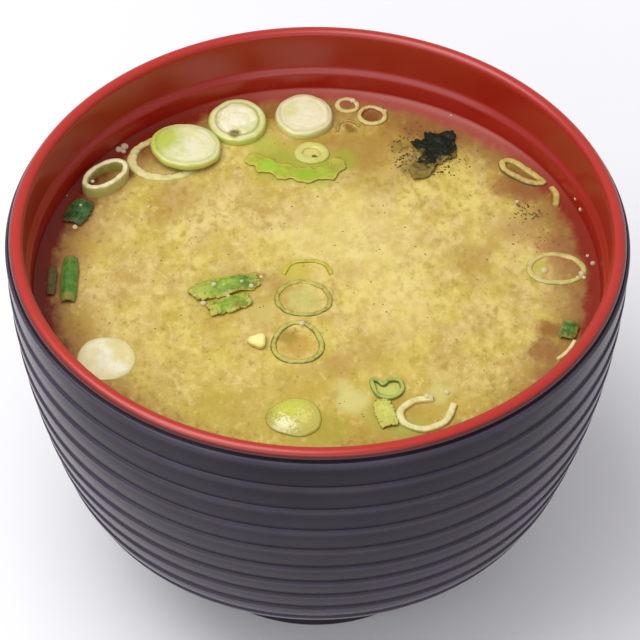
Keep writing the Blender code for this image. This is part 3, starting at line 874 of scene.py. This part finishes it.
# Flat cuts of the green leaf: thin, finely ribbed along their length, bent
# across, and held up by the skin of the soup.
leaf_columns, leaf_rows = 80, 32
leaf_taper = 0.3
vein_count = 5.0
vein_depth = 0.01 * MM
leaf_lift = 0.05 * MM
leaf_tree, given = new_tree("Cut leaf", [
    "Length", "Width", "Turn", "Centre X", "Centre Y", "Lowest", "Arch", "Wave", "Ragged",
    "Veins", "Vein depth", "Seed"], Material="Material")
blank = given["Geometry"].add("GeometryNodeMeshGrid", {}, {
    "Size X": 2.0, "Size Y": 2.0, "Vertices X": leaf_columns + 1, "Vertices Y": leaf_rows + 1})
u, v, _ = blank.add("GeometryNodeInputPosition").parts()
marked = blank.keep("along", u).keep("across", v)
ragged = (u.noise(u.vector(u * 2.2, v, 0.0), 1.6, detail=4.0, roughness=0.65,
                   seed=given["Seed"]) - 0.5) * 2.0
taper = 1 - leaf_taper * u.maths("ABSOLUTE", u) ** 4.0
half_width = given["Width"] * 0.5 * taper * (1 + given["Ragged"] * ragged)
half_length = given["Length"] * 0.5 * (1 + 0.4 * given["Ragged"] * ragged)
vein = u.maths("COSINE", v * given["Veins"] * pi)
crumple = u.noise(u.vector(u, v, 0.0), 2.2, detail=2.0, seed=given["Seed"] + 5.0) - 0.5
rise = (given["Arch"] * (1 - v * v) + given["Vein depth"] * vein
        + given["Wave"] * (u.maths("SINE", u * (2.2 * pi)) + 2.5 * crumple))
x, y = u * half_length, v * half_width
cosine, sine = x.maths("COSINE", given["Turn"]), x.maths("SINE", given["Turn"])
shape = x.vector(x * cosine - y * sine + given["Centre X"],
                 x * sine + y * cosine + given["Centre Y"], rise + given["Lowest"])
placed = marked.then("GeometryNodeSetPosition", {"Position": shape})
end_tree(dressed(placed, given["Material"]))


def leaf_green(name, deep, fresh, edge, patches=()):
    """Wet leaf with veins along it, shades of green and a paler cut edge."""
    material, wire, shader, place = new_finish(name, 0.42, coat=0.08, coat_roughness=0.15,
                                               gloss=0.3)
    along, across = read(wire, "along"), read(wire, "across")
    veins = wire.noise(across.vector(along * 0.5, across * 4.0, 0.0), 1.2, detail=2.0)
    cloud = wire.noise(place, 0.8, detail=4.0, roughness=0.7)
    colour = (veins * 0.3 + cloud * 0.7).between(0.36, 0.62).mixed(deep, fresh)
    for east, north, radius, tint, strength in patches:
        share = patch(place, east, north, radius, (cloud - 0.5) * 1.2)
        colour = (share * strength).mixed(colour, tint)
    to_side, to_end = across.maths("ABSOLUTE", across), along.maths("ABSOLUTE", along)
    to_side = to_side.maths("MAXIMUM", to_side, to_end)
    rim = (to_side + (cloud - 0.5) * 0.9).between(0.62, 1.0)
    feed(shader, "Base Color", (rim * 0.85).mixed(colour, edge))
    feed_bump(shader, veins, 0.1, 0.2 * MM)
    return material


# Leaves by name: deep and fresh green, the cut edge, and patches in millimetres.
leaf_shades = {
    "deep_leaf": ((28, 58, 24), (62, 116, 48), (86, 72, 34),
                  [(-48.4, 16.0, 2.4, (40, 44, 22), 0.8)]),
    "mid_leaf": ((62, 98, 30), (88, 138, 46), (112, 122, 44),
                 [(-46.7, -6.0, 1.8, (160, 150, 72), 0.9)]),
    "fresh_leaf": ((104, 134, 34), (156, 180, 62), (184, 174, 72),
                   [(-12.8, -0.8, 3.0, (82, 118, 28), 0.9),
                    (-16.4, -4.0, 2.4, (92, 122, 34), 0.8),
                    (-14.8, -7.6, 2.0, (142, 112, 42), 0.5),
                    (-21.6, -3.2, 2.8, (176, 184, 80), 0.7)]),
    "olive_leaf": ((60, 66, 28), (98, 92, 42), (96, 58, 34)),
    "right_leaf": ((58, 92, 28), (90, 130, 42), (138, 120, 54)),
    "film_leaf": ((158, 160, 44), (168, 188, 52), (190, 178, 74),
                  [(-9.6, 31.2, 2.6, (150, 194, 44), 0.9), (-2.2, 28.8, 3.4, (146, 176, 40), 0.8),
                   (3.4, 31.6, 3.0, (150, 146, 48), 0.8)]),
    "cream_leaf": ((186, 188, 76), (206, 208, 104), (192, 180, 82)),
}
greens = {name: leaf_green(name, *shades) for name, shades in leaf_shades.items()}

# Leaves by node: length and width in millimetres, turn in degrees, arch and wave in
# millimetres, raggedness, and green.
leaf_thickness = 0.3 * MM
leaves = [
    ("green_leaf_back_left", 6.6, 4.6, 70.0, 0.35, 0.1, 0.45, "deep_leaf"),
    ("green_leaf_left", 11.6, 2.9, 90.0, 0.5, 0.06, 0.06, "mid_leaf"),
    ("green_leaf_wall", 7.6, 1.5, 90.0, 0.15, 0.08, 0.2, "olive_leaf"),
    ("green_leaf_middle_a", 13.2, 4.4, 20.0, 0.4, 0.16, 0.7, "fresh_leaf"),
    ("green_leaf_middle_b", 8.0, 3.4, 25.0, 0.3, 0.16, 0.8, "fresh_leaf"),
    ("green_leaf_right", 4.4, 3.2, 75.0, 0.3, 0.15, 0.35, "right_leaf"),
    ("green_leaf_front", 6.6, 3.4, 105.0, 0.1, 0.06, 0.8, "cream_leaf"),
]


def thicken(piece, thickness):
    """Gives a sheet its thickness upwards."""
    wall = piece.modifiers.new("Thickness", "SOLIDIFY")
    wall.thickness = thickness
    wall.offset = 1.0
    return piece


first_leaf_seed = 50.0
for count, (node, length, width, turn, arch, wave, ragged, green) in enumerate(leaves):
    low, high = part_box(node)
    name = node.replace("green_leaf", "leaf_cut")
    piece = run_tree(name, bpy.data.meshes.new(node), leaf_tree, {
        "Length": length * MM, "Width": width * MM, "Turn": radians(turn),
        "Centre X": (low.x + high.x) / 2, "Centre Y": (low.y + high.y) / 2,
        "Lowest": low.z + leaf_lift, "Arch": arch * MM, "Wave": wave * MM, "Ragged": ragged,
        "Veins": vein_count, "Vein depth": vein_depth, "Seed": first_leaf_seed + count,
        "Material": greens[green]})
    float_piece(thicken(piece, leaf_thickness), node)


def plain_piece(name, mesh, material):
    """An object for a mesh that is made without a geometry tree."""
    mesh.materials.append(material)
    piece = bpy.data.objects.new(name, mesh)
    bpy.context.scene.collection.objects.link(piece)
    return piece


def sheet_along(name, points, width, height, rows, material, bend=0.0):
    """A flat strip of uneven width along a path, as a grid of faces."""
    shell = bmesh.new()
    middle = [Vector(point) for point in points]
    along, across, lines = [], [], []
    for i, point in enumerate(middle):
        ahead = middle[min(i + 1, len(middle) - 1)] - middle[max(i - 1, 0)]
        sideways = Vector((-ahead.y, ahead.x)).normalized()
        end_share = abs(2 * i / (len(middle) - 1) - 1)
        half = width / 2 * (1 - 0.5 * end_share ** 6) * (1 + 0.16 * sin(0.9 * i))
        line = []
        for j in range(rows):
            v = 2 * j / (rows - 1) - 1
            lift = bend * (1 - v * v)
            tear = noise.noise(Vector((point.x, point.y, v * MM)) / MM * 0.9)
            spot = point + sideways * half * v * (1 + 0.5 * tear)
            line.append(shell.verts.new((spot.x, spot.y, height + lift)))
            along.append(2 * i / (len(middle) - 1) - 1)
            across.append(v)
        lines.append(line)
    for before, after in zip(lines, lines[1:]):
        for j in range(rows - 1):
            shell.faces.new((before[j], after[j], after[j + 1], before[j + 1]))
    mesh = bpy.data.meshes.new(name)
    shell.to_mesh(mesh)
    shell.free()
    mesh.shade_smooth()
    mesh.attributes.new("along", "FLOAT", "POINT").data.foreach_set("value", along)
    mesh.attributes.new("across", "FLOAT", "POINT").data.foreach_set("value", across)
    return plain_piece(name, mesh, material)


film_path = smooth_path([(-13.8, 34.0), (-11.0, 32.0), (-6.5, 29.9), (-1.5, 28.9),
                         (2.4, 30.4), (4.0, 33.6)])
film_width = 3.8 * MM
film_rows = 15
film = sheet_along("leaf_cut_back", film_path, film_width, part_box("green_leaf_back")[0].z,
                   film_rows, greens["film_leaf"], bend=0.1 * MM)
float_piece(thicken(film, leaf_thickness / 2), "green_leaf_back")


# Wakame: a torn, crumpled scrap of soaked seaweed, almost black where it is
# thick and brown-green where it thins out, with a long tail. Its lobes are
# given by heading in degrees, length in millimetres and spread.
seaweed_lobes = [(-120.0, 10.5, 0.42), (163.0, 5.4, 0.6), (110.0, 5.0, 0.8), (60.0, 5.6, 0.8),
                 (-32.0, 4.4, 0.6), (-80.0, 4.4, 0.8)]
seaweed_core = 3.8
seaweed_centre = (23.2 * MM, 36.6 * MM)
seaweed_lift = 0.45 * MM


def seaweed_reach(heading):
    """How far the leaf reaches in one direction, in millimetres."""
    reach = seaweed_core
    for towards, length, spread in seaweed_lobes:
        apart = atan2(sin(heading - radians(towards)), cos(heading - radians(towards)))
        reach = max(reach, length / (1.0 + (apart / spread) ** 2))
    spot = Vector((cos(heading), sin(heading), 0.0))
    torn = 0.2 * noise.noise(spot * 2.6) + 0.16 * noise.noise(spot * 7.0)
    return reach * (0.95 + torn)


def make_seaweed(name, centre, height, material, spokes=220, rows=18):
    """A sheet of rows round a middle point, torn at its edge and crumpled."""
    shell = bmesh.new()
    middle = shell.verts.new((centre[0], centre[1], height))
    lines, shares = [], [0.0]
    for row in range(1, rows + 1):
        share = row / rows
        line = []
        for i in range(spokes):
            heading = 2 * pi * i / spokes
            reach = seaweed_reach(heading) * share
            spot = Vector((reach * cos(heading), reach * sin(heading), 0.0))
            lift = 0.5 * noise.noise(spot * 0.5) + 0.25 * noise.noise(spot * 1.4)
            line.append(shell.verts.new((centre[0] + spot.x * MM, centre[1] + spot.y * MM,
                                         height + lift * min(1.0, 2 * share) * MM)))
            shares.append(share)
        lines.append(line)
    for i in range(spokes):
        after = (i + 1) % spokes
        shell.faces.new((middle, lines[0][i], lines[0][after]))
        for inner, outer in zip(lines, lines[1:]):
            shell.faces.new((inner[i], outer[i], outer[after], inner[after]))
    mesh = bpy.data.meshes.new(name)
    shell.to_mesh(mesh)
    shell.free()
    mesh.shade_smooth()
    mesh.attributes.new("share", "FLOAT", "POINT").data.foreach_set("value", shares)
    return plain_piece(name, mesh, material)


soaked_seaweed, wire, shader, place = new_finish("soaked_seaweed", 0.5, gloss=0.2)
share = read(wire, "share")
blotches = wire.noise(place, 0.7, detail=4.0, roughness=0.7)
x, y, _ = place.parts()
thin = (share * 0.7 + (blotches - 0.5) * 2.2 + (34.0 - y) * 0.09).between(0.35, 0.95)
feed(shader, "Base Color", thin.mixed((22, 30, 16), (132, 112, 52)))
feed_bump(shader, blotches, 0.5, 0.4 * MM)
wakame = make_seaweed("wakame_leaf", seaweed_centre, level + seaweed_lift, soaked_seaweed)
float_piece(thicken(wakame, leaf_thickness), "wakame")


# The soup: miso stirred into clear stock, clouded nearly to the wall, with a clear rim where the
# red shows through, painted lighter on the right as light and darker on the left as shade, with a
# painted reflection along the back. It climbs the wall and each piece.
soup_inset = bowl_wall - 0.15 * MM
soup_sides = 384
climb_wall = 1.1 * MM
climb_reach = 1.6 * MM
climb_piece = 0.13 * MM
climb_piece_reach = 0.5 * MM
soup_rows = 120
soup_radius = wall_radius(level, soup_inset)
ripple = 0.08 * MM
ripple_change = 0.16 / MM

soup_tree, given = new_tree("Pour the soup", ["Climb", "Climb reach", "Ripple"], Rows="Int",
                            Sides="Int", Pieces="Collection", Material="Material")
turned = lathe_nodes(given)
top = turned.kept("inside")
pieces = given["Pieces"].then("GeometryNodeCollectionInfo", {},
                              {"transform_space": "RELATIVE"})
pieces = pieces.then("GeometryNodeRealizeInstances")
distance = pieces.then("GeometryNodeProximity", {}, {"target_element": "FACES"}, output=1)
near = distance.maths("EXPONENT", -1 * distance / given["Climb reach"])
at = turned.add("GeometryNodeInputPosition")
waves = at.noise(at, ripple_change, detail=3.0, roughness=0.6) - 0.5
lift = (near * given["Climb"] + waves * given["Ripple"]) * top
soup_shape = turned.then("GeometryNodeSetPosition", {"Offset": lift.vector(0.0, 0.0, lift)})
end_tree(dressed(soup_shape, given["Material"]))

outline = cavity_points(soup_inset, level - 2.0 * MM, 8)
marks = [0.0] * len(outline)
for i in range(soup_rows + 1):
    radius = soup_radius * (1 - i / soup_rows)
    gap = soup_radius - radius
    rise = climb_wall * exp(-gap / climb_reach)
    outline.append((radius, level + rise))
    marks.append(0.0 if i == 0 else 1.0)

miso, wire, shader, place = new_finish("miso", 0.24, gloss=0.2)
x, y, _ = place.parts()
away = (x * x + y * y) ** 0.5
lying = place.then("ShaderNodeMapping", {"Scale": (1.05, 0.8, 1.0)})
clouds = wire.noise(lying, 0.10, detail=3.0, roughness=0.55, seed=1.0)
wisps = wire.noise(lying, 0.42, detail=3.0, roughness=0.6, seed=4.0)
clots = wire.noise(lying, 0.8, detail=2.0, roughness=0.6, seed=9.0)
grain = wire.noise(place, 2.2, detail=2.0, roughness=0.6, seed=7.0)
hues = wire.noise(lying, 0.17, detail=1.5, roughness=0.5, seed=14.0)
flow = clouds * 0.4 + wisps * 0.6
dark_soup = hues.between(0.38, 0.62).mixed((186, 157, 82), (188, 164, 72))
pale_soup = hues.between(0.38, 0.62).mixed((215, 192, 122), (217, 198, 108))
soup_colour = flow.between(0.36, 0.64).mixed(dark_soup, pale_soup)
front = (-1 * y).between(6.0, 40.0) * 0.6
soup_colour = front.mixed(soup_colour, (188, 164, 66))
dark_clot = (clots + (clouds - 0.5) * 0.35).between(0.54, 0.72)
soup_colour = (dark_clot * 0.4).mixed(soup_colour, (138, 114, 36))
pale_clot = (clots - (clouds - 0.5) * 0.3).between(0.46, 0.32)
soup_colour = (pale_clot * 0.45).mixed(soup_colour, (224, 206, 132))
soup_colour = (grain.between(0.35, 0.8) * 0.06).mixed(soup_colour, (128, 102, 38))

# Tints of what is wholly sunk, and of the stock between the clouds of miso:
# east, north, radius in millimetres, the colour, and how strong it is.
ragged = (wisps - 0.5) * 1.5 + (clots - 0.5) * 0.7
brown, amber, sunk_cream = (158, 120, 40), (172, 140, 52), (206, 198, 120)
sunk_green, stock_red = (160, 160, 52), (110, 38, 18)
back_amber = (160, 124, 48)
tints = [
    (6.0, 12.0, 19.0, (234, 216, 142), 0.35), (14.0, -6.0, 12.0, (228, 206, 128), 0.3),
    (-28.0, 22.5, 8.0, brown, 0.45), (-30.0, 17.0, 4.5, brown, 0.36),
    (-22.0, 27.0, 7.0, amber, 0.3), (28.5, 7.0, 6.0, brown, 0.45), (31.0, 3.0, 5.0, amber, 0.3),
    (-20.0, 10.0, 5.0, amber, 0.3), (8.0, 37.0, 9.0, back_amber, 0.8),
    (12.0, 30.0, 9.0, back_amber, 0.5), (16.0, 41.0, 8.0, back_amber, 0.7),
    (0.0, 40.0, 7.0, back_amber, 0.7), (-9.0, 38.0, 5.0, amber, 0.3),
    (-3.0, -26.0, 7.0, amber, 0.36), (4.0, -22.0, 5.0, brown, 0.36),
    (4.5, -30.0, 4.0, brown, 0.3), (-8.0, -1.0, 4.5, brown, 0.42),
    (-19.0, -9.5, 6.0, amber, 0.42), (5.0, 2.5, 5.0, amber, 0.3), (14.0, -33.0, 6.0, brown, 0.42),
    (20.0, -33.0, 5.0, amber, 0.36), (12.0, -40.0, 10.0, brown, 0.36),
    (-33.0, -30.0, 8.0, amber, 0.3), (-46.0, -14.0, 9.0, amber, 0.42),
    (-44.0, 10.0, 8.0, amber, 0.36), (-8.0, 32.5, 7.5, sunk_green, 0.9),
    (0.0, 31.0, 7.0, sunk_green, 0.9), (4.5, 33.5, 4.5, sunk_green, 0.8),
    (-10.5, 38.0, 4.5, (176, 178, 70), 0.7), (-18.0, -3.5, 9.0, (168, 156, 56), 0.6),
    (-4.0, 3.0, 4.5, (190, 176, 62), 0.7), (-2.6, -4.8, 5.0, (188, 184, 100), 0.7),
    (-3.5, -16.6, 4.6, (186, 146, 62), 0.8), (-5.5, -14.6, 2.6, (150, 128, 48), 0.7),
    (-10.3, -8.6, 4.4, (196, 178, 98), 0.7), (6.6, -30.5, 4.6, sunk_cream, 0.9),
    (5.0, -27.6, 3.0, sunk_cream, 0.6), (13.0, -28.2, 3.2, (190, 196, 100), 0.95),
    (12.0, -34.5, 4.5, (178, 170, 74), 0.8), (17.0, -37.5, 4.5, (170, 168, 72), 0.8),
    (22.5, -28.6, 3.6, sunk_cream, 0.7), (-4.0, -35.5, 7.5, (176, 160, 56), 0.8),
    (2.0, -37.5, 6.0, (168, 156, 52), 0.7), (-1.4, 35.3, 2.6, (206, 194, 110), 1.0),
    (-0.9, 34.4, 1.0, (92, 72, 40), 0.9), (45.0, 4.6, 5.0, (196, 166, 96), 0.7),
    (41.5, 4.6, 3.2, (184, 182, 76), 0.8), (40.5, 26.5, 6.0, (136, 58, 34), 0.8),
    (36.0, 27.0, 5.0, (150, 92, 52), 0.6), (40.0, 15.0, 6.0, (172, 132, 82), 0.6),
    (46.0, 10.0, 6.0, (166, 112, 74), 0.8), (43.5, -12.0, 3.6, (140, 84, 40), 0.8),
    (42.0, -17.5, 3.6, (150, 96, 48), 0.7), (10.4, 46.2, 2.9, (88, 24, 14), 1.0),
    (38.0, 31.4, 1.7, (98, 66, 30), 0.9), (41.0, 29.2, 1.7, (98, 66, 30), 0.9),
    (5.5, 49.4, 2.0, (116, 50, 34), 0.9), (6.0, 42.8, 1.8, (120, 84, 34), 0.8),
    (20.0, 44.0, 6.0, (126, 50, 34), 0.7), (26.0, 42.0, 5.0, (116, 46, 30), 0.6),
    (-36.5, 29.0, 2.4, stock_red, 0.9), (-36.0, 38.0, 7.0, stock_red, 0.9),
    (-45.0, 22.0, 5.0, stock_red, 0.8), (-41.2, 26.4, 3.2, (128, 112, 48), 0.9),
    (-9.5, 46.5, 3.0, stock_red, 0.6), (-48.6, -1.0, 3.4, (96, 46, 22), 0.8),
    (19.0, 32.0, 4.5, (128, 104, 44), 0.8), (22.0, 37.0, 5.5, (120, 98, 46), 0.8),
    (16.0, 37.5, 3.0, (140, 112, 50), 0.7),
]
for east, north, radius, tint, strength in tints:
    share = patch(place, east, north, radius, ragged * (2.6 / radius)) * strength
    soup_colour = share.mixed(soup_colour, tint)
edge_noise = (wisps - 0.5) * 9.0 + (clots - 0.5) * 4.0
soup_colour = ((away + edge_noise).between(41.0, 50.0) * 0.85).mixed(soup_colour,
                                                                     (142, 98, 52))
# Painted light and shade: the clear stock at the rim is painted lighter to the right, where the
# red wall under it is lit, and darker to the left.
to_right = (x * 0.9 + y * 0.4).between(-40.0, 20.0)
lit_clear_stock = to_right.mixed((104, 28, 12), (132, 36, 18))
# Painted reflection: a pinkish band along the back, where the rising soup reflects the bright
# room over the red.
back_reflection = (y + x * 0.35).between(36.0, 52.0)
lit_clear_stock = back_reflection.mixed(lit_clear_stock, (158, 74, 62))
clear_from = away + edge_noise * 0.45 - to_right * 0.7
soup_colour = clear_from.between(48.4, 51.2).mixed(soup_colour, lit_clear_stock)
feed(shader, "Base Color", soup_colour)
feed_bump(shader, clots * 0.6 + wisps, 0.06, 0.3 * MM)

half_soup = profile_mesh("soup_outline", outline, {"inside": marks,
                                                   "rib": [no_rib] * len(outline)})
soup = run_tree("miso_soup", half_soup, soup_tree, {
    "Rows": len(outline), "Sides": soup_sides, "Pieces": floating, "Climb": climb_piece,
    "Climb reach": climb_piece_reach, "Ripple": ripple, "Material": miso})
face_outwards(soup)
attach(soup, "root")
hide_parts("soup")


# Bubbles and drops: clear films of stock, domed by the air in them, at the
# edges of the cut pieces and on the wall over the soup.
bubble_tree, given = new_tree("Bubbles", ["Flatness"], Material="Material")
ball = given["Geometry"].add("GeometryNodeMeshUVSphere", {}, {
    "Segments": 20, "Rings": 12, "Radius": 1.0})
size = ball.kept("size")
blown = given["Geometry"].then("GeometryNodeInstanceOnPoints", {
    "Instance": ball, "Scale": size.vector(size, size, size * given["Flatness"])})
end_tree(dressed(blown, given["Material"]))

clear_film, wire, shader, place = new_finish("clear_film", 0.05, coat=0.5, coat_roughness=0.03)
# The pale, near-white colour paints each bubble's glint as well as its film of stock.
film_and_glint_colour = wire.noise(place, 1.5).mixed((250, 240, 214), (236, 224, 168))
feed(shader, "Base Color", film_and_glint_colour)
facing = wire.add("ShaderNodeLayerWeight", {}, {"Blend": 0.35}, output=1)
feed(shader, "Alpha", 0.4 + 0.5 * facing)


# Bubbles: east, north, height over the soup and radius, in millimetres.
bubbles = [
    (-39.1, 35.4, 0.4, 0.75), (-38.0, 36.3, 0.4, 0.8), (-38.1, 35.0, 0.3, 0.5),
    (-39.9, 34.4, 0.3, 0.4), (-43.6, 25.1, 1.6, 0.4), (-46.4, 13.1, 0.9, 0.5),
    (20.3, -30.2, 0.9, 0.5), (43.0, 3.6, 0.15, 0.7), (50.0, 2.6, 0.4, 0.6), (49.2, 1.6, 0.3, 0.4),
    (50.4, 1.4, 0.5, 0.4), (-19.4, -2.2, 1.1, 0.5), (-12.4, -2.4, 1.1, 0.45),
    (-16.7, -4.8, 0.7, 0.4), (-21.3, -6.5, 0.4, 0.55), (-2.7, -11.4, 0.3, 0.6),
    (6.6, 50.4, 0.5, 0.6), (7.4, 49.4, 0.4, 0.4), (21.0, -30.4, 0.7, 0.5), (13.0, 47.6, 0.4, 0.4),
    (26.1, 46.4, 0.5, 0.45), (-48.6, 22.0, 0.5, 0.5), (-49.4, 20.6, 0.5, 0.35),
    (-45.6, 18.8, 1.2, 0.3), (-32.6, 19.8, 0.1, 0.35), (38.4, 22.4, 0.1, 0.4),
    (24.0, -28.6, 0.2, 0.5), (50.4, 18.5, 2.0, 0.45), (49.5, 21.0, 2.4, 0.35),
    (52.2, 5.2, 0.6, 0.5), (51.3, 7.3, 0.5, 0.35), (-14.2, -1.2, 1.0, 0.4),
    (-10.6, 0.2, 0.9, 0.35), (-17.6, -2.2, 1.0, 0.3),
]
bubble_flatness = 0.75
bubble_spots = bpy.data.meshes.new("bubble_spots")
bubble_spots.from_pydata([(x * MM, y * MM, level + z * MM) for x, y, z, _ in bubbles], [], [])
bubble_sizes = [radius * MM for *_, radius in bubbles]
bubble_spots.attributes.new("size", "FLOAT", "POINT").data.foreach_set("value", bubble_sizes)
piece = run_tree("soup_bubbles", bubble_spots, bubble_tree, {
    "Flatness": bubble_flatness, "Material": clear_film})
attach(piece, "root")


# Crumbs of miso and of seaweed, a few tenths of a millimetre, that hang in
# the top of the soup.
crumb_width, crumb_height = 0.6, 0.3
crumb_depth = 0.02 * MM
crumb_tree, given = new_tree("Scatter crumbs", [
    "Centre X", "Centre Y", "Height", "Radius", "Density", "Largest"], Seed="Int",
    Material="Material")
disc = given["Geometry"].add("GeometryNodeMeshCircle", {"fill_type": "NGON"}, {
    "Vertices": 96, "Radius": given["Radius"]})
centre = disc.vector(given["Centre X"], given["Centre Y"], given["Height"])
disc = disc.then("GeometryNodeTransform", {"Translation": centre})
spots = disc.then("GeometryNodeDistributePointsOnFaces", {
    "Density": given["Density"], "Seed": given["Seed"]}, {"distribute_method": "RANDOM"})
ball = spots.add("GeometryNodeMeshIcoSphere", {}, {"Radius": 1.0, "Subdivisions": 2})
largest = given["Largest"]
length = spots.add("FunctionNodeRandomValue", {"data_type": "FLOAT"}, {
    "Min": 0.3, "Max": 1.0, "Seed": given["Seed"]}, 1) * largest
heading = spots.add("FunctionNodeRandomValue", {"data_type": "FLOAT"}, {
    "Min": 0.0, "Max": 2 * pi, "Seed": given["Seed"] + 1}, 1)
crumbs = spots.then("GeometryNodeInstanceOnPoints", {
    "Instance": ball, "Rotation": heading.vector(0.0, 0.0, heading),
    "Scale": length.vector(length, length * crumb_width, largest * crumb_height)})
end_tree(dressed(crumbs, given["Material"]))


def crumb_colour(name, first, second):
    """A matt finish in patches of two colours."""
    material, wire, shader, place = new_finish(name, 0.4)
    feed(shader, "Base Color", wire.noise(place, 0.8).between(0.35, 0.65).mixed(first, second))
    return material


miso_crumb = crumb_colour("miso_crumb", (152, 126, 50), (124, 98, 38))
dark_crumb = crumb_colour("dark_crumb", (58, 54, 26), (124, 100, 44))
for name, east, north, radius, density, largest, seed, material, slot in [
        ("miso_crumbs", 0.0, 0.0, 49.0, 0.03, 0.24, 4, miso_crumb, "miso_broth"),
        ("seaweed_crumbs_back", 20.5, 36.0, 6.6, 1.6, 0.36, 7, dark_crumb, "seaweed"),
        ("seaweed_crumbs_behind", 23.0, 37.5, 8.6, 0.25, 0.34, 8, dark_crumb, "seaweed"),
        ("seaweed_crumbs_right", 40.0, 19.6, 2.8, 1.6, 0.4, 9, dark_crumb, "seaweed"),
        ("seaweed_crumbs_far", 41.5, 14.5, 6.0, 0.25, 0.3, 12, dark_crumb, "seaweed")]:
    piece = run_tree(name, bpy.data.meshes.new(name), crumb_tree, {
        "Centre X": east * MM, "Centre Y": north * MM, "Height": level + crumb_depth,
        "Radius": radius * MM, "Density": density / MM ** 2, "Largest": largest * MM,
        "Seed": seed, "Material": material})
    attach(piece, "root")
